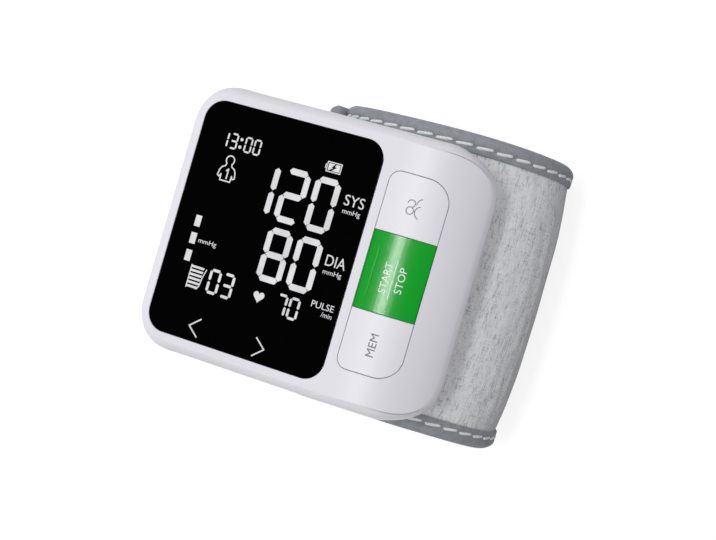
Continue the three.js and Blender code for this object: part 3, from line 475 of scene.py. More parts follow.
def flat_bar(shape, start, end, outline):
    """An outline along a line, from its distances past the start or short of the end, and across."""
    length = math.dist(start, end)
    x, y = (end[0] - start[0]) / length, (end[1] - start[1]) / length
    for number, (past, short, across) in enumerate(outline):
        along = past if short is None else length - short
        outline[number] = (start[0] + x * along - y * across, start[1] + y * along + x * across)
    flat_shape(shape, outline)


def figure(shape, digits, lefts, top, width, height, stroke, gap):
    """Figures built from their lit bars; each bar has pointed ends, with a gap between bars."""
    half = stroke / 2
    rows = (top - half, top - height / 2, top - height + half)
    tip, neck = gap / 2, gap / 2 + half * 0.8
    for digit, left in zip(digits, lefts):
        columns = (left + half, left + width - half)
        for bar in figure_bars[digit]:
            from_column, from_row, to_column, to_row = bar_runs[bar]
            flat_bar(shape, (columns[from_column], rows[from_row]), (columns[to_column], rows[to_row]), [
                (tip, None, 0), (neck, None, half), (None, neck, half), (None, tip, 0), (None, neck, -half),
                (neck, None, -half)])
    return shape


def drawn_line(shape, points, width, closed=False):
    """A drawn line of even width through points."""
    half, past = width / 2, width * 0.3
    for start, end in zip(points, points[1:] + points[:closed]):
        flat_bar(shape, start, end, [(-past, None, half), (None, -past, half), (None, -past, -half),
                                     (-past, None, -half)])


def circle_points(x, y, radius, start=0.0, end=360.0, count=24):
    return [(x + radius * math.cos(math.radians(start + (end - start) * step / count)),
             y + radius * math.sin(math.radians(start + (end - start) * step / count)))
            for step in range(count + (abs(end - start) < 359.9))]


def words(text, left, baseline, cap_height, width, turn=0.0):
    """Lettering as a mesh: it starts at left, baseline, and is as wide as asked."""
    curve = bpy.data.curves.new("words", "FONT")
    curve.body = text
    curve.size = 1.0
    curve.resolution_u = 4
    holder = bpy.data.objects.new("words", curve)
    bpy.context.scene.collection.objects.link(holder)
    shape = bmesh.new()
    shape.from_mesh(as_mesh(holder))
    bpy.data.objects.remove(holder)
    bmesh.ops.remove_doubles(shape, verts=shape.verts, dist=1e-5)
    xs = [point.co.x for point in shape.verts]
    cap = 0.729  # cap height of the built-in letters at size 1
    bmesh.ops.translate(shape, verts=shape.verts, vec=(-min(xs), 0, 0))
    bmesh.ops.scale(shape, verts=shape.verts, vec=(width / (max(xs) - min(xs)), cap_height / cap, 1))
    raised(shape, shape.faces[:], (0, 0, mark_rise))
    bmesh.ops.recalc_face_normals(shape, faces=shape.faces[:])
    bmesh.ops.rotate(shape, verts=shape.verts, matrix=Matrix.Rotation(math.radians(turn), 3, "Z"))
    bmesh.ops.translate(shape, verts=shape.verts, vec=(left, baseline, mark_foot))
    return shape


def gathered(shapes):
    """Several shapes in one."""
    total = bmesh.new()
    for shape in shapes:
        mesh = bpy.data.meshes.new("part")
        shape.to_mesh(mesh)
        shape.free()
        total.from_mesh(mesh)
        bpy.data.meshes.remove(mesh)
    return total


def film(name, *shapes):
    finished(name, gathered(shapes), lit, "case_and_cuff", sharp=30, weighted=False)


film("pressure_figures", figure(bmesh.new(), "120", (-7.1, 0.95, 9.0), 17.5, 6.75, 13.0, 1.5, 0.32),
     figure(bmesh.new(), "80", (0.85, 8.9), 3.0, 6.75, 12.95, 1.5, 0.32))
film("pulse_and_store_figures", figure(bmesh.new(), "70", (7.95, 11.25), -11.35, 2.85, 5.3, 0.6, 0.3),
     figure(bmesh.new(), "03", (-10.85, -7.1), -10.55, 3.2, 6.05, 0.68, 0.3))

clock = figure(bmesh.new(), "1300", (-18.1, -15.55, -11.6, -9.15), 21.75, 2.0, 3.85, 0.42, 0.16)
for y in (20.7, 18.85):
    flat_shape(clock, circle_points(-12.65, y, 0.4, count=12))
film("clock_figures", clock)

film("unit_words", words("SYS", 17.4, 12.5, 2.65, 5.2), words("mmHg", 17.65, 10.6, 1.2, 4.6),
     words("DIA", 17.15, -2.1, 2.75, 5.2), words("mmHg", 17.2, -4.05, 1.2, 4.85),
     words("PULSE", 16.75, -12.1, 1.6, 5.85), words("/min", 19.8, -13.75, 1.2, 2.8),
     words("mmHg", -16.3, -5.6, 1.15, 4.95))

signs = bmesh.new()
for top in (0.6, -3.65, -7.9):
    flat_shape(signs, [(-18.7, top), (-17.1, top), (-17.1, top - 2.7), (-18.7, top - 2.7)])
heart = []
for step in range(28):
    angle = step / 28 * 2 * math.pi
    heart.append((3.2 + 1.45 * math.sin(angle) ** 3,
                  -13.65 + 1.45 * (13 * math.cos(angle) - 5 * math.cos(2 * angle) - 2 * math.cos(3 * angle)
                                   - math.cos(4 * angle)) / 15.5))
flat_shape(signs, heart)
for left, way in ((-9.65, -2.65), (5.7, 2.65)):
    drawn_line(signs, [(left, -22.95), (left + way, -25.15), (left, -27.35)], 0.34)
# Battery with its cap and a small bolt
drawn_line(signs, [(10.75, 21.2), (14.4, 21.2), (14.4, 18.95), (10.75, 18.95)], 0.24, closed=True)
flat_shape(signs, [(10.5, 20.6), (10.28, 20.6), (10.28, 19.55), (10.5, 19.55)])
flat_shape(signs, [(11.1, 20.9), (12.75, 20.9), (11.9, 20.05), (12.35, 19.95), (11.4, 19.25), (11.1, 19.25)])
flat_shape(signs, [(13.05, 20.9), (14.1, 20.9), (14.1, 19.25), (12.1, 19.25), (13.3, 20.2), (12.75, 20.3)])
# User figure: a head and shoulders in outline
drawn_line(signs, circle_points(-14.05, 15.2, 1.1, -50, 230, 18), 0.3)
drawn_line(signs, [(-14.75, 14.35), (-14.9, 13.75), (-15.75, 13.3), (-16.2, 12.5), (-16.4, 11.2),
                   (-15.85, 10.9), (-15.5, 11.6), (-15.45, 10.15), (-12.65, 10.15), (-12.6, 11.6),
                   (-12.25, 10.9), (-11.7, 11.2), (-11.9, 12.5), (-12.35, 13.3), (-13.2, 13.75),
                   (-13.35, 14.35)], 0.3)
drawn_line(signs, [(-14.35, 12.6), (-13.85, 13.1), (-13.85, 10.75)], 0.34)
# Store sheet: stacked lines on a page with a turned edge
for step in range(6):
    top, tuck = -11.15 - step * 0.95, step * 0.07
    flat_shape(signs, [(-16.15, top), (-12.55 - tuck, top), (-12.7 - tuck, top - 0.55),
                       (-16.15, top - 0.55)])
drawn_line(signs, [(-16.15, -11.1), (-16.15, -16.6)], 0.24)
drawn_line(signs, [(-11.95, -11.4), (-12.55, -13.6), (-12.75, -15.6), (-13.5, -16.5)], 0.26)
film("display_signs", signs)

# ---------------------------------------------------------------------------------------------
# Keys: three caps of satin ABS in one opening, a green one between two white ones. Each cap
# follows the roll of the face and is held by a flange under the cover. The words are printed.
key_gap, key_flange, key_edge = 0.13, 0.7, 0.12
key_top = wall + fit
key_depth = key_top + 1.0
green_abs = plastic("green_satin_abs", "#12a82c", 0.165, 1.54, 0.45, 0.10, spread=0.03)
white_key_abs = plastic("white_key_abs", "#ebeaf1", 0.36, 1.54, 0.45, 0.10, spread=0.012)

key_plan = grown(strip, -key_gap)
for name, near, far, stem_y, colour, cad_slot in (
    ("user_key", 9.3, 26.4, 16.45, white_key_abs, "white_case"),
    ("start_stop_key", -9.2, 9.2, 0.0, green_abs, "green_key"),
    ("memory_key", -26.4, -9.3, -16.45, white_key_abs, "white_case"),
):
    left, right = key_plan[0], key_plan[1]
    whole = stacked(key_plan, [
        (-key_edge, face_height), (-key_edge * 0.3, below_face(key_edge * 0.3)), (0, below_face(key_edge)),
        (0, below_face(key_top)), (key_gap + key_flange, below_face(key_top)),
        (key_gap + key_flange, below_face(key_depth))], bends=True)
    span = bmesh.new()
    bmesh.ops.create_cube(span, size=1.0)
    bmesh.ops.scale(span, verts=span.verts, vec=(right - left + 8, far - near, 40))
    bmesh.ops.translate(span, verts=span.verts, vec=((left + right) / 2, (near + far) / 2, -10))
    stem = rod(2.0, 33.85, stem_y, -5.1, -key_depth + 0.2, 24)
    shape = carved(whole, ("INTERSECT", [span]), ("UNION", [stem]))
    inner_edges = [edge for edge in shape.edges
                   if all(abs(abs(point.co.y) - 9.25) < 0.1 for point in edge.verts)
                   and all(point.co.z > face_height(point.co.x) - 0.03 for point in edge.verts)]
    bmesh.ops.bevel(shape, geom=inner_edges, offset=key_edge, affect="EDGES", segments=2, profile=0.5,
                    material=-1, clamp_overlap=False)
    finished(name + "_cap", shape, colour, name, [name])

# Printed ink on the keys: grey on white, white on green
grey_ink = plastic("grey_pad_print_ink", "#73737a", 0.42, 1.5, 0.3, 0.05, spread=0.05)
white_ink = plastic("white_pad_print_ink", "#e9f2ea", 0.42, 1.5, 0.3, 0.05, spread=0.04)


def printed(name, shapes, ink, body):
    """Ink that follows the rolled face: each point is set on the face under it."""
    shape = gathered(shapes)
    bmesh.ops.subdivide_edges(shape, edges=[line for line in shape.edges if line.calc_length() > 1.2],
                              cuts=2, use_grid_fill=False)
    for point in shape.verts:
        point.co.z += face_height(point.co.x)
    finished(name, shape, ink, body, sharp=30, weighted=False)


rule = bmesh.new()
flat_shape(rule, [(33.92, -5.55), (34.08, -5.55), (34.08, 3.75), (33.92, 3.75)])
printed("start_stop_words", [words("START", 33.15, -4.45, 1.75, 7.2, turn=90),
                             words("STOP", 36.6, -3.65, 1.75, 6.0, turn=90), rule],
        white_ink, "start_stop_key")
printed("memory_word", [words("MEM", 34.65, -19.2, 1.95, 5.3, turn=90)], grey_ink, "memory_key")

# Two plain user figures, each a head and shoulders
people = bmesh.new()
drawn_line(people, circle_points(33.3, 15.35, 0.85, 0, 360, 20), 0.2, closed=True)
for x, y, radius, start, end, count in ((35.95, 15.35, 1.5, 110, 250, 14), (33.3, 17.0, 0.85, -60, 180, 14),
                                        (35.95, 17.1, 1.5, 110, 185, 8)):
    drawn_line(people, circle_points(x, y, radius, start, end, count), 0.2)
printed("user_sign", [people], grey_ink, "user_key")

# Raised bar on the green key, which the thumb feels
ridge = bmesh.new()
ridge_x = 28.95
bmesh.ops.create_uvsphere(ridge, u_segments=16, v_segments=8, radius=1.0)
for point in ridge.verts:
    point.co = (ridge_x + point.co.x * 0.3, point.co.y * 0.3 + math.copysign(5.7, point.co.y) - 0.25,
                face_height(ridge_x) - 0.02 + point.co.z * 0.16)
finished("start_stop_ridge", ridge, green_abs, "start_stop_key", sharp=60)

# ---------------------------------------------------------------------------------------------
# Rear cover: the lower half of the case in the same white ABS. A straight rim runs under the
# seam, the left half is deep, and a saddle over the cuff is cut from below.
case_depth, rim_height = 25.0, 3.2
rear_top = -(seam_depth + fit)
side_draw, end_draw, end_tuck = 1.0, 7.5, 1.3
foot_round = 3.6
loop_middle, loop_waist, loop_top = 28.0, -42.0, -17.0
loop_left_radius, loop_right_radius, loop_upper, loop_lower = 33.1, 26.0, 25.0, 22.0
saddle_gap = 1.0
screw_seat, board_bottom = rear_top - 2.7, -10.3
stud_top = board_bottom - fit - wall - fit
socket_plan = (9.5, 18.5, -13.6, -10.4)
stud_places = (19.95, -17.45)
port_y = 1.25


def case_ring(inset, inset_right):
    return (case_left + inset, case_right - inset_right, inset - case_half, case_half - inset,
            max(case_corners[0] - inset, 0.4), max(case_corners[1] - inset, 0.4))


def rear_levels(skin, top):
    """Level lines of the rear cover, from the seam down to its rounded foot."""
    rim_foot = -(seam_depth + rim_height)
    foot = -(case_depth - skin)
    lip = 0.0 if skin else seam_edge

    def under(drop, level=math.inf):
        return lambda x: min(level, seam_height(x) + top + seam_depth - drop)
    levels = [((-skin - lip, 1.0), under(0.0))]
    if lip:
        levels.append(((-skin, 1.0), under(lip)))
    levels.append((case_ring(skin, skin + end_tuck), under(lip + 0.15, rim_foot + 0.5)))
    for share in (0.05, 0.15, 0.4, 0.7, 1.0):
        levels.append((case_ring(skin + side_draw * share, skin + max(end_draw * share, end_tuck)),
                       under(lip + 0.15 + share, rim_foot + (foot + foot_round - rim_foot) * share)))
    for step in range(1, 9):
        angle = step / 8 * math.pi / 2
        inset = foot_round * (1 - math.cos(angle))
        levels.append((case_ring(skin + side_draw + inset, skin + end_draw + inset),
                       foot + foot_round * (1 - math.sin(angle))))
    return levels


def saddle_core(margin):
    """The upper half of the space inside the cuff loop, grown by a margin, right across the case."""
    shape = bmesh.new()
    bmesh.ops.create_circle(shape, cap_ends=True, segments=96, radius=1.0)
    for point in shape.verts:
        x, y = point.co.x, point.co.y
        reach = (loop_left_radius if x < 0 else loop_right_radius) + margin
        point.co = (loop_middle + x * reach, -case_half - overrun, loop_waist + y * (loop_upper + margin))
    geom = shape.verts[:] + shape.edges[:] + shape.faces[:]
    bmesh.ops.bisect_plane(shape, geom=geom, plane_co=(0, 0, loop_waist), plane_no=(0, 0, -1),
                           clear_outer=True)
    raised(shape, shape.faces[:], (0, 2 * (case_half + overrun), 0))
    bmesh.ops.recalc_face_normals(shape, faces=shape.faces[:])
    return shape


def bar_along_x(near, far, bottom, top, radius, left, right):
    """A rounded bar along X, from its outline seen from the left."""
    shape = stacked((bottom, top, near, far, radius, radius), [(0, left), (0, right)], steps=8)
    swap = Matrix(((0, 0, 1, 0), (0, 1, 0, 0), (1, 0, 0, 0), (0, 0, 0, 1)))
    bmesh.ops.transform(shape, matrix=swap, verts=shape.verts)
    bmesh.ops.recalc_face_normals(shape, faces=shape.faces[:])
    return shape


rear = stacked(case_plan, rear_levels(0.0, rear_top), bends=True)
inside = carved(stacked(case_plan, rear_levels(wall, rear_top + overrun), bends=True),
                ("DIFFERENCE", [saddle_core(saddle_gap + wall)]))
posts = [rod(3.1, x, y, -case_depth + 0.02, seam_height(x) + rear_top + seam_depth - 0.8)
         for x, y in screw_places]
studs = [rod(3.4, loop_middle, y, loop_top - saddle_gap + 1.0, stud_top + fit + wall)
         for y in stud_places]
post_set = carved(posts[0], ("UNION", posts[1:] + studs))
post_set = carved(post_set, ("INTERSECT", [stacked(case_plan, rear_levels(0.0, rear_top), bends=True)]),
                  ("DIFFERENCE", [saddle_core(saddle_gap)]))
holes = [rod(2.2, x, y, -case_depth - overrun, screw_seat) for x, y in screw_places]
holes += [rod(screw_hole, x, y, -case_depth, rear_top + overrun, 16) for x, y in screw_places]
holes += [rod(2.3, loop_middle, y, loop_top, stud_top + fit, 24) for y in stud_places]
holes += [rod(1.8, loop_middle, port_y, loop_top, -12.0, 20),
          bar_along_x(socket_plan[0] - fit, socket_plan[1] + fit, socket_plan[2] - fit,
                      socket_plan[3] + fit, 1.5, case_left - overrun, case_left + wall + overrun)]
rear = carved(rear, ("DIFFERENCE", [inside, saddle_core(saddle_gap)]), ("UNION", [post_set]),
              ("DIFFERENCE", holes))
finished("rear_cover_shell", rear, white_abs, "case_and_cuff", ["rear_cover"])

# ---------------------------------------------------------------------------------------------
# Pieces inside the case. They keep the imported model's shapes and get their own finishes.
nickel = bpy.data.materials.new("nickel_plated_steel")
tree = empty_tree(nickel)
place = add_node(tree, "TexCoord").outputs["Object"]
# Plated steel: its grain is 0.12 mm wide and pressed flat along Z, as fine turning lines
turned = add_node(tree, "Mapping", {"Vector": place, "Scale": (1, 1, 12)})
grain = add_node(tree, "TexNoise", {"Vector": turned, "Scale": 1000 / 0.12, "Detail": 3.0})
tints = add_node(tree, "ValToRGB", {0: grain}, stops=((0.3, linear("#b9bcc0", 0.88)),
                                                      (0.7, linear("#b9bcc0"))))
rough = add_node(tree, "MapRange", {"Value": grain, "From Min": 0.3, "From Max": 0.7, "To Min": 0.21,
                                    "To Max": 0.36})
relief = add_node(tree, "Bump", {"Height": grain, "Strength": 0.15, "Distance": 0.00003})
shader = add_node(tree, "BsdfPrincipled", {"Base Color": tints, "Roughness": rough, "Normal": relief,
                                           "Metallic": 1.0})
add_node(tree, "OutputMaterial", {"Surface": shader})

for material, names in (
    (nickel, "pump_motor pump_rotor valve_plunger charging_socket case_screw_1 case_screw_2 case_screw_3"
             " case_screw_4"),
    (plastic("liquid_crystal_glass", "#20262a", 0.12, 1.52, 3.0, 0.02, spread=0.1), "lcd_panel"),
    (plastic("milky_light_guide", "#f4f5f2", 0.5, 1.49, 0.8, 0.1, spread=0.02), "backlight_panel"),
    (plastic("black_matt_polycarbonate", "#1c1d20", 0.5, 1.58, 0.3, 0.3, spread=0.1),
     "lcd_frame pressure_sensor user_switch start_stop_switch memory_switch"),
    (plastic("grey_matt_nylon", "#8e9296", 0.55, 1.53, 0.35, 0.3, spread=0.05),
     "pump_head exhaust_valve air_manifold user_switch_button start_stop_switch_button"
     " memory_switch_button"),
    (plastic("clear_silicone_tube", "#dfe2e2", 0.4, 1.41, 1.0, 0.1), "pump_tube valve_tube"),
    (plastic("blue_shrink_film", "#2f5fa8", 0.28, 1.55, 4.0, 0.3, spread=0.08), "battery_cell"),
    (plastic("green_solder_mask", "#1d5c38", 0.35, 1.55, 0.6, 0.4, spread=0.2), "main_board"),
    (plastic("clear_polyester_sheet", "#d9dde0", 0.2, 1.57, 2.0, 0.1), "curl_plate"),
):
    for name in names.split():
        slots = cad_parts[name].data.materials
        slots.clear()
        slots.append(material)

# ---------------------------------------------------------------------------------------------
# The cuff's course, seen along the wrist: from its start end under the case's left half, over
# the top, down the right side, along the foot, and up the left side as the hinged tail.
hem = 2.6
tail_lap = 4.8
cuff_edge, cloth_edge, pad_edge = 36.35, 34.35, 31.25
pad_thick, cloth_thick, lining_thick = 5.6, 1.2, 0.9
stitch_inset, stitch_pitch, stitch_height = 3.1, 5.0, 1.78


def elliptic(x, z, radius_x, radius_z, start, end):
    angles = np.linspace(start, end, 600)
    return np.stack([x + radius_x * np.cos(angles), z + radius_z * np.sin(angles)], 1)


start_x = loop_middle - loop_left_radius
foot_z = loop_waist - loop_lower
foot_right_radius, foot_left_radius = 16.0, 16.6
foot_right, foot_left = 38.0, start_x - tail_lap + foot_left_radius
tip_gap, hinge_drop = 2.0, 10.0
tip_angle = math.pi - math.asin((-case_depth - tip_gap - loop_waist) / (loop_upper + tail_lap))
hinge_angle = math.asin(hinge_drop / loop_lower) - math.pi
course_parts = [
    np.linspace((start_x, loop_waist - 3.1), (start_x, loop_waist), 40),
    elliptic(loop_middle, loop_waist, loop_left_radius, loop_upper, math.pi, math.pi / 2),
    elliptic(loop_middle, loop_waist, loop_right_radius, loop_upper, math.pi / 2, 0),
    elliptic(foot_right, loop_waist, foot_right_radius, loop_lower, 0, -math.pi / 2),
    np.linspace((foot_right, foot_z), (foot_left, foot_z), 200),
    elliptic(foot_left, loop_waist, foot_left_radius, loop_lower, -math.pi / 2, hinge_angle),
    elliptic(foot_left, loop_waist, foot_left_radius, loop_lower, hinge_angle, -math.pi),
    elliptic(loop_middle, loop_waist, loop_left_radius + tail_lap, loop_upper + tail_lap, math.pi,
             tip_angle),
]
course = np.concatenate([part[:-1] for part in course_parts[:-1]] + [course_parts[-1]])
course_at = np.concatenate([[0.0], np.cumsum(np.hypot(*np.diff(course, axis=0).T))])
# Distances along the course where its parts meet
(at_start_top, at_crest, at_right, at_foot_right, at_foot_left, at_hinge, at_tail, at_tip) = (
    course_at[count] for count in np.cumsum([len(part) - 1 for part in course_parts]))
course_run = np.gradient(course, course_at, axis=0)
course_run /= np.linalg.norm(course_run, axis=1)[:, None]


def eased(start, end, value):
    share = np.clip((value - start) / (end - start), 0.0, 1.0)
    return share * share * (3 - 2 * share)


def wrapped(flat):
    """Bends points drawn flat, as distance along, across, and outward, round the cuff's course.
    The hems pull in on the right and at the tail's tip, they wander a little across, as sewn
    cloth does, and the cuff lies a little askew under the case."""
    along, across, out = flat[:, 0], flat[:, 1], flat[:, 2]
    reach = across / cuff_edge
    turned = eased(55, 85, along) - eased(95, at_foot_right, along)
    out = out - turned * (0.62 * reach ** 2 + 0.35 * np.maximum(-reach, 0))
    out = out - 0.6 * eased(at_tip - 14, at_tip - 4, along) * eased(27, 33, np.abs(across))
    settled = 1 - eased(92, at_foot_right, along)
    near_side = 1.05 * eased(24, 52, along) * (1 - 0.75 * eased(62, 92, along)) * settled
    far_side = (0.62 * eased(32, 74, along) - 0.26 * eased(8, 22, along)) * settled
    across = across + reach ** 2 * np.where(reach < 0, near_side, far_side)
    inside = np.clip(along, 0.0, at_tip)
    x, z = (np.interp(inside, course_at, course[:, axis]) for axis in (0, 1))
    run_x, run_z = (np.interp(inside, course_at, course_run[:, axis]) for axis in (0, 1))
    x, z = x + run_x * (along - inside), z + run_z * (along - inside)
    narrow = 1 - 0.04 * np.clip((along - at_hinge) / (at_tip - at_hinge), 0, 1)
    askew = port_y - (x - loop_middle) * 0.014
    return np.stack([x - run_z * out, askew + across * narrow, z + run_x * out], 1)


def wrap_shape(shape):
    flat = np.array([point.co for point in shape.verts], float).reshape(-1, 3)
    for point, place in zip(shape.verts, wrapped(flat)):
        point.co = place
    return shape


def crown(across):
    return 1 - np.minimum(np.abs(across) / pad_edge, 1.0) ** 3.4


padding_start = at_start_top + (at_crest - at_start_top) / 8
padding_end = at_foot_left + (at_hinge - at_foot_left) * 4 / 6


def swell(along, across):
    return 1.4 * crown(across) * (eased(at_crest, at_right, along) - eased(at_right, at_foot_right, along))


def pad(along, across):
    filled = eased(at_start_top, padding_start, along) - eased(padding_end, at_hinge, along)
    return hem + (pad_thick - hem) * crown(across) * filled


def creases(along, across, seed, level):
    """Fine folds that lie across the cuff, and broad soft ones, both from still noise."""
    return level * np.array([
        noise.noise(Vector((s * 0.42, y * 0.085, seed)))
        + noise.noise(Vector((s * 0.09, y * 0.05, seed + 7.3)))
        for s, y in zip(along, across)])


def even(level):
    return lambda along, across: np.full(len(along), level)


def wall_layer(start, end, half, outer, inner, steps_along, steps_across):
    """A closed layer of the cuff's wall, drawn flat. Outer and inner give its two sides."""
    shape = bmesh.new()
    bmesh.ops.create_grid(shape, x_segments=steps_along, y_segments=steps_across, size=1.0)
    for point in shape.verts:
        point.co = ((start + end) / 2 + point.co.x * (end - start) / 2, point.co.y * half, 0.0)
    uv = shape.loops.layers.uv.new("cloth_grain")
    lower = raised(shape, shape.faces[:], (0, 0, 0))
    below = set(lower)
    for group, side in (([p for p in shape.verts if p not in below], outer), (lower, inner)):
        flat = np.array([p.co for p in group])
        for point, out in zip(group, side(flat[:, 0], flat[:, 1])):
            point.co.z = out
    for face in shape.faces:
        for corner in face.loops:
            corner[uv].uv = corner.vert.co.xy * 0.001
    bmesh.ops.recalc_face_normals(shape, faces=shape.faces[:])
    return wrap_shape(shape)


def soft_finished(name, shape, material, replaces, on=None):
    """A soft piece: on one body, or, when none is given, on no body with its placement baked into its mesh.
    """
    facing_out(shape)
    bmesh.ops.transform(shape, matrix=SET_DOWN, verts=shape.verts)
    made = as_object(name, shape)
    made.data.shade_smooth()
    made.data.set_sharp_from_angle(angle=math.radians(60))
    made.data.materials.append(material)
    if on:
        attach(made, on)
    else:
        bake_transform(made)
    if replaces:
        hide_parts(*replaces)


# ---------------------------------------------------------------------------------------------
# Cuff cloth: light grey brushed loop cloth on thin foam, heathered, with a soft nap. It is
# stretched over the curl plate and shows fine folds where it turns down on the right.


def heather_cloth(name, dark, middle, pale, relief_mm):
    """Brushed cloth: short darker flecks that lie across the cuff, and a fine nap."""
    material = bpy.data.materials.new(name)
    tree = empty_tree(material)
    grain_map = add_node(tree, "UVMap", uv_map="cloth_grain")

    def speckled(width_mm, length_mm, detail, roughness=0.5, distortion=0.0):
        spots_at = add_node(tree, "Mapping", {"Vector": grain_map,
                                              "Scale": (1000 / width_mm, 1000 / length_mm, 1)})
        return add_node(tree, "TexNoise", {"Vector": spots_at, "Scale": 1.0, "Detail": detail,
                                           "Roughness": roughness, "Distortion": distortion})

    def mixed(share, first, second):
        return add_node(tree, "Mix", {0: share, 2: first, 3: second}, data_type="FLOAT")
    # Fibres of 0.5 by 2.6 mm, crossed by some of 2.0 by 0.4 mm, clouds of 2.5 by 7 mm, and a nap
    flecks = mixed(0.30, speckled(0.5, 2.6, 4.0, 0.62, 0.5), speckled(2.0, 0.4, 3.0, 0.5, 0.4))
    nap = speckled(0.28, 0.40, 3.0)
    blend = mixed(0.14, mixed(0.18, flecks, speckled(2.5, 7.0, 2.0)), nap)
    tints = add_node(tree, "ValToRGB", {0: blend}, stops=((0.38, linear(dark)), (0.58, linear(pale)),
                                                          (0.48, linear(middle))))
    relief = add_node(tree, "Bump", {"Height": mixed(0.45, flecks, nap), "Strength": 0.8,
                                     "Distance": relief_mm * 0.001})
    shader = add_node(tree, "BsdfPrincipled", {
        "Base Color": tints, "Normal": relief, "Roughness": 0.95, "Specular IOR Level": 0.25,
        "Sheen Weight": 0.3})
    add_node(tree, "OutputMaterial", {"Surface": shader})
    return material


grey_loop_cloth = heather_cloth("grey_brushed_loop_cloth", "#b0b4bd", "#f1f2f7", "#ffffff", 0.45)
grey_lining_cloth = heather_cloth("grey_lining_cloth", "#8f959a", "#b4b9bd", "#cccfd2", 0.12)


def cloth_out(along, across):
    bend = eased(at_crest + 8, at_right, along) - 0.4 * eased(at_foot_right, at_foot_left, along)
    near_hem = eased(pad_edge - 7, pad_edge, np.abs(across))
    puckers = 0.06 * near_hem * np.cos(along * 2 * math.pi / stitch_pitch)
    folds = creases(along, across, 3.1, 0.22) * (0.35 + 0.65 * bend) * crown(across) ** 0.5
    return swell(along, across) + folds + puckers


def cloth_in(along, across):
    return swell(along, across) - cloth_thick


def lining_in(along, across):
    turn = eased(at_crest, at_right, along) + eased(at_foot_left - 5, at_hinge, along)
    folds = creases(along, across, 9.7, 0.18) * crown(across) * (0.4 + turn)
    return swell(along, across) - pad(along, across) + folds


def lining_out(along, across):
    return swell(along, across) - pad(along, across) + lining_thick


loop_cloth = wall_layer(0.0, at_foot_left, cloth_edge, cloth_out, cloth_in, 290, 80)
soft_finished("cuff_outer_cloth", loop_cloth, grey_loop_cloth, ["cuff_cloth"],
              "case_and_cuff")
loop_lining = wall_layer(0.0, at_foot_left, cloth_edge, lining_out, lining_in, 240, 60)
soft_finished("cuff_padded_lining", loop_lining, grey_lining_cloth, ["cuff_lining"],
              "case_and_cuff")

# Air bladder: a flat welded bag of grey film between the plate and the lining, with its port
bladder_edge = 21.8
film_rubber = plastic("grey_welded_film", "#3b3d42", 0.45, 1.5, 1.2, 0.5, spread=0.1)


def bladder_side(sign):
    def side(along, across):
        outer = swell(along, across) - 2.6
        inner = np.minimum(swell(along, across) - pad(along, across) + 1.25, outer - 0.25)
        middle, thick = (outer + inner) / 2, (outer - inner) / 2
        to_edge = np.minimum(np.minimum(bladder_edge - np.abs(across), along - padding_start),
                             padding_end - along)
        full = np.sqrt(np.clip(to_edge / 2.5, 0.0, 1.0))
        return middle + sign * (0.12 + (thick - 0.12) * full)
    return side


bag = wall_layer(padding_start + 0.1, padding_end - 0.1, bladder_edge - 0.1, bladder_side(1),
                 bladder_side(-1), 150, 36)
port = rod(1.5, loop_middle, port_y, loop_top - 2.8, -14.9, 20)
soft_finished("bladder_bag", gathered([bag, port]), film_rubber, ["air_bladder"],
              "case_and_cuff")

# ---------------------------------------------------------------------------------------------
# Tail of the cuff: the same cloth and lining go on past a sewn seam on the foot, round the
# hinge line and up over the start end. Hook tape on its inner side grips the loop cloth.


def tail_side(thickness, thin_level):
    def side(along, across):
        thin = eased(at_hinge - 4, at_hinge + 2, along)
        return (thickness - pad(along, across)) * (1 - thin) + thin_level * thin
    return side


tail_start, tail_end = at_foot_left + 0.05, at_tip - 2.0
tail_cloth = wall_layer(tail_start, tail_end, cloth_edge, cloth_out, even(-cloth_thick), 130, 80)
soft_finished("tail_outer_cloth", tail_cloth, grey_loop_cloth, ["tail_cloth"])
tail_lining = wall_layer(tail_start, tail_end, cloth_edge, tail_side(lining_thick, -1.5), tail_side(0, -2.7),
                         110, 60)
soft_finished("tail_padded_lining", tail_lining, grey_lining_cloth, ["tail_lining"])

# ---------------------------------------------------------------------------------------------
# Binding: grey woven tape folded over the cuff's edges and sewn through with white thread. One
# length goes round the start end, and one round the tail.
grey_tape = bpy.data.materials.new("grey_woven_tape")
tree = empty_tree(grey_tape)
grain_map = add_node(tree, "UVMap", uv_map="cloth_grain")
# Fine ribs across the tape, 0.55 mm apart, threads 0.4 mm apart, and slight unevenness
ribs, threads = (
    add_node(tree, "TexWave", {"Vector": grain_map, "Scale": 0.3142 / (pitch_mm * 0.001), "Distortion": 0.6,
                               "Detail": 1.0}, bands_direction=way).outputs["Fac"]
    for pitch_mm, way in ((0.55, "X"), (0.40, "Y")))
weave = add_node(tree, "Mix", {0: 0.4, 2: ribs, 3: threads}, data_type="FLOAT")
drift = add_node(tree, "TexNoise", {"Vector": grain_map, "Scale": 600.0, "Detail": 4.0})
blend = add_node(tree, "Mix", {0: 0.8, 2: weave, 3: drift}, data_type="FLOAT")
tints = add_node(tree, "ValToRGB", {0: blend}, stops=((0.3, linear("#8b8f95")), (0.7, linear("#a5a9af"))))
relief = add_node(tree, "Bump", {"Height": weave, "Strength": 0.3, "Distance": 0.00008})
shader = add_node(tree, "BsdfPrincipled", {
    "Base Color": tints, "Normal": relief, "Roughness": 0.75, "Specular IOR Level": 0.3,
    "Sheen Weight": 0.2})
add_node(tree, "OutputMaterial", {"Surface": shader})

thread = bpy.data.materials.new("white_polyester_thread")
tree = empty_tree(thread)
place = add_node(tree, "TexCoord").outputs["Object"]
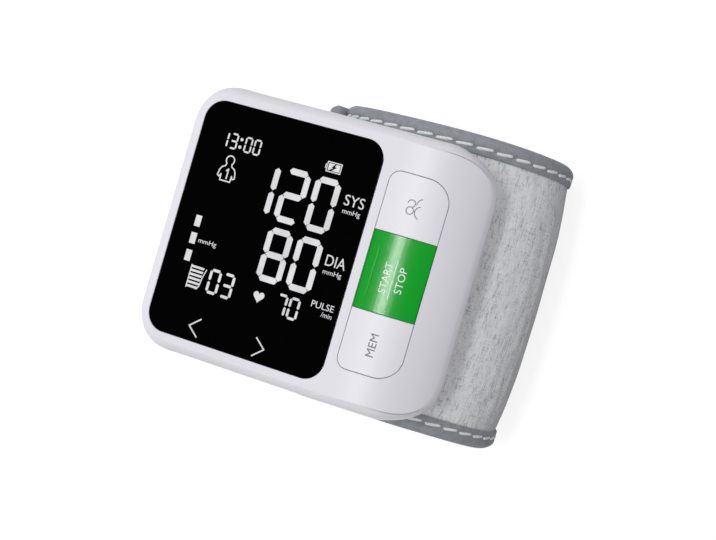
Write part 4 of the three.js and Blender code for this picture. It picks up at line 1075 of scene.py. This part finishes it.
# Two-ply twist, drawn at 0.5 mm so that it shows
twist = add_node(tree, "TexWave", {"Vector": place, "Scale": 0.3142 / 0.0005, "Distortion": 1.0},
                 bands_direction="DIAGONAL").outputs["Fac"]
tints = add_node(tree, "ValToRGB", {0: twist}, stops=((0.0, linear("#ececf0")), (1.0, linear("#fcfcfe"))))
relief = add_node(tree, "Bump", {"Height": twist, "Strength": 0.2, "Distance": 0.0001})
shader = add_node(tree, "BsdfPrincipled", {"Base Color": tints, "Normal": relief, "Roughness": 0.6})
add_node(tree, "OutputMaterial", {"Surface": shader})


hem_step, seam_gap = 0.8, 0.04
start_overhang, start_corner, tip_corner = 2.0, 6.5, 3.5


def hem_line(seam, end, corner, way):
    """The cuff's edge round one of its ends, drawn flat: place, outward direction and run."""
    points = [(seam + way * distance, -cuff_edge, 0.0, -1.0)
              for distance in np.arange(0, abs(end - seam) - corner, hem_step)]
    half = cuff_edge - corner
    for step in range(17):
        angle = -math.pi / 2 + math.pi / 2 * step / 16
        out_s, out_y = way * math.cos(angle), math.sin(angle)
        points.append((end - way * corner + corner * out_s, -half + corner * out_y, out_s, out_y))
    mirrored = [(s, -y, out_s, -out_y) for s, y, out_s, out_y in reversed(points)]
    across_end = np.arange(-half + hem_step, half - hem_step / 2, hem_step)
    return points + [(end, y, way * 1.0, 0.0) for y in across_end] + mirrored


def runs_along(points):
    """Distances along a line, from the first two values of its points."""
    steps = [math.dist(a[:2], b[:2]) for a, b in zip(points, points[1:])]
    return np.concatenate([[0.0], np.cumsum(steps)])


# The folded tape's outline: inward distance from the fold, and height over its middle
outer_side = [(-4.8, 1.58), (-4.72, 1.76), (-4.5, 1.86), (-3.9, 1.88), (-3.45, 1.72), (-3.1, 1.46),
              (-2.75, 1.72), (-2.3, 1.96), (-1.8, 2.0), (-1.3, 1.84), (-0.85, 1.52), (-0.45, 1.08),
              (-0.15, 0.61), (-0.02, 0.28)]
inner_side = [(-0.5, 0.0), (-0.75, 0.55), (-1.2, 1.05), (-1.8, 1.36), (-3.0, 1.38), (-4.8, 1.40)]
tape_section = (outer_side + [(x, -h) for x, h in reversed(outer_side)]
                + [(x, -h) for x, h in reversed(inner_side)] + inner_side[1:] + [outer_side[0]])


def swept_tape(line, middle):
    """The folded tape along a line of the cuff's edge: its section is closed, and so are its ends."""
    rows, columns = len(line), len(tape_section)
    shape = bmesh.new()
    bmesh.ops.create_grid(shape, x_segments=rows - 1, y_segments=columns - 1, size=1.0)
    uv = shape.loops.layers.uv.new("cloth_grain")
    grid_place = shape.verts.layers.float_vector.new("grid_place")
    runs, around = runs_along(line), runs_along(tape_section)
    for point in shape.verts:
        row = round((point.co.x + 1) / 2 * (rows - 1))
        column = round((point.co.y + 1) / 2 * (columns - 1))
        s, y, out_s, out_y = line[row]
        x, h = tape_section[column]
        pull = (0.10 * math.exp(-((x + stitch_inset) / 0.9) ** 2)
                * math.cos(2 * math.pi * runs[row] / stitch_pitch))
        fat = 1 + 0.03 * noise.noise(Vector((runs[row] * 0.16, x * 0.5, h * 0.5)))
        h = h * fat + math.copysign(pull, h) * (abs(h) > 1.3)
        point[grid_place] = (runs[row] * 0.001, around[column] * 0.001, 0.0)
        point.co = (s + out_s * x, y + out_y * x, middle(s) + h)
    for face in shape.faces:
        for corner in face.loops:
            corner[uv].uv = corner.vert[grid_place].xy
    wrap_shape(shape)
    bmesh.ops.remove_doubles(shape, verts=shape.verts, dist=1e-4)
    bmesh.ops.holes_fill(shape, edges=[e for e in shape.edges if len(e.link_faces) == 1], sides=0)
    return shape


def stitch_row(line, middle):
    """White stitches along the tape, 4.3 mm long and 5 mm apart, one row on each side."""
    parts = bmesh.new()
    runs = runs_along(line)
    places = np.array([(s - out_s * stitch_inset, y - out_y * stitch_inset, out_s, out_y)
                       for s, y, out_s, out_y in line])
    for number in range(int(runs[-1] / stitch_pitch)):
        for side in (1, -1):
            made = bmesh.ops.create_uvsphere(parts, u_segments=8, v_segments=6, radius=1.0)
            for point in made["verts"]:
                run, wide, tall = point.co.z, point.co.x, point.co.y
                ring = max(math.hypot(wide, tall), 1e-3) ** -0.6
                run, wide, tall = math.copysign(abs(run) ** 0.55, run), wide * ring, tall * ring
                at = (number + 0.5) * stitch_pitch + run * 2.15
                s, y, out_s, out_y = (np.interp(at, runs, column) for column in places.T)
                h = stitch_height + tall * 0.30 - 0.30 * run ** 16
                swing = wide * 0.40 + 0.20 * run
                point.co = (s + out_s * swing, y + out_y * swing, middle(s) + side * h)
    return wrap_shape(parts)


def loop_hem_middle(s):
    return -hem / 2


def tail_hem_middle(s):
    return -hem / 2 - 0.05 * float(eased(at_hinge - 4, at_hinge + 2, s))


start_line = hem_line(at_foot_left - seam_gap / 2, -start_overhang, start_corner, -1)
tail_line = hem_line(at_foot_left + seam_gap / 2, at_tip, tip_corner, 1)
soft_finished("cuff_binding", swept_tape(start_line, loop_hem_middle), grey_tape,
              ["cuff_binding_upper", "cuff_binding_lower", "start_end_binding"], "case_and_cuff")
soft_finished("tail_binding", swept_tape(tail_line, tail_hem_middle), grey_tape,
              ["tail_binding_upper", "tail_binding_lower", "tail_end_binding"])
soft_finished("cuff_stitches", stitch_row(start_line, loop_hem_middle), thread, [],
              "case_and_cuff")
soft_finished("tail_stitches", stitch_row(tail_line, tail_hem_middle), thread, [])

# Hook tape: a moulded nylon strip with rows of small hooks, sewn to the tail's inner side
hook_nylon = plastic("black_moulded_nylon", "#2b2d31", 0.5, 1.53, 0.4, 0.3, spread=0.12)
hook_start, hook_end, hook_half, hook_pitch = at_tail + 0.3, at_tip - 5.6, 27.35, 1.25
backing = wall_layer(hook_start, hook_end, hook_half, even(-3.0), even(-3.55), 40, 40)
hooks = bmesh.new()
for row, s in enumerate(np.arange(hook_start + 0.9, hook_end - 0.6, hook_pitch)):
    for y in np.arange(-hook_half + 1.0 + 0.6 * (row % 2), hook_half - 0.6, hook_pitch):
        made = bmesh.ops.create_cone(hooks, cap_ends=True, segments=5, radius1=0.22, radius2=0.16, depth=1.0)
        for point in made["verts"]:
            lean = 0.3 * max(0.0, point.co.z)
            point.co = (s + point.co.x + lean, y + point.co.y, -3.5 - (point.co.z + 0.5) * 0.9)
soft_finished("hook_tape", gathered([backing, wrap_shape(hooks)]), hook_nylon, ["hook_pad"],
              "cuff_tail")
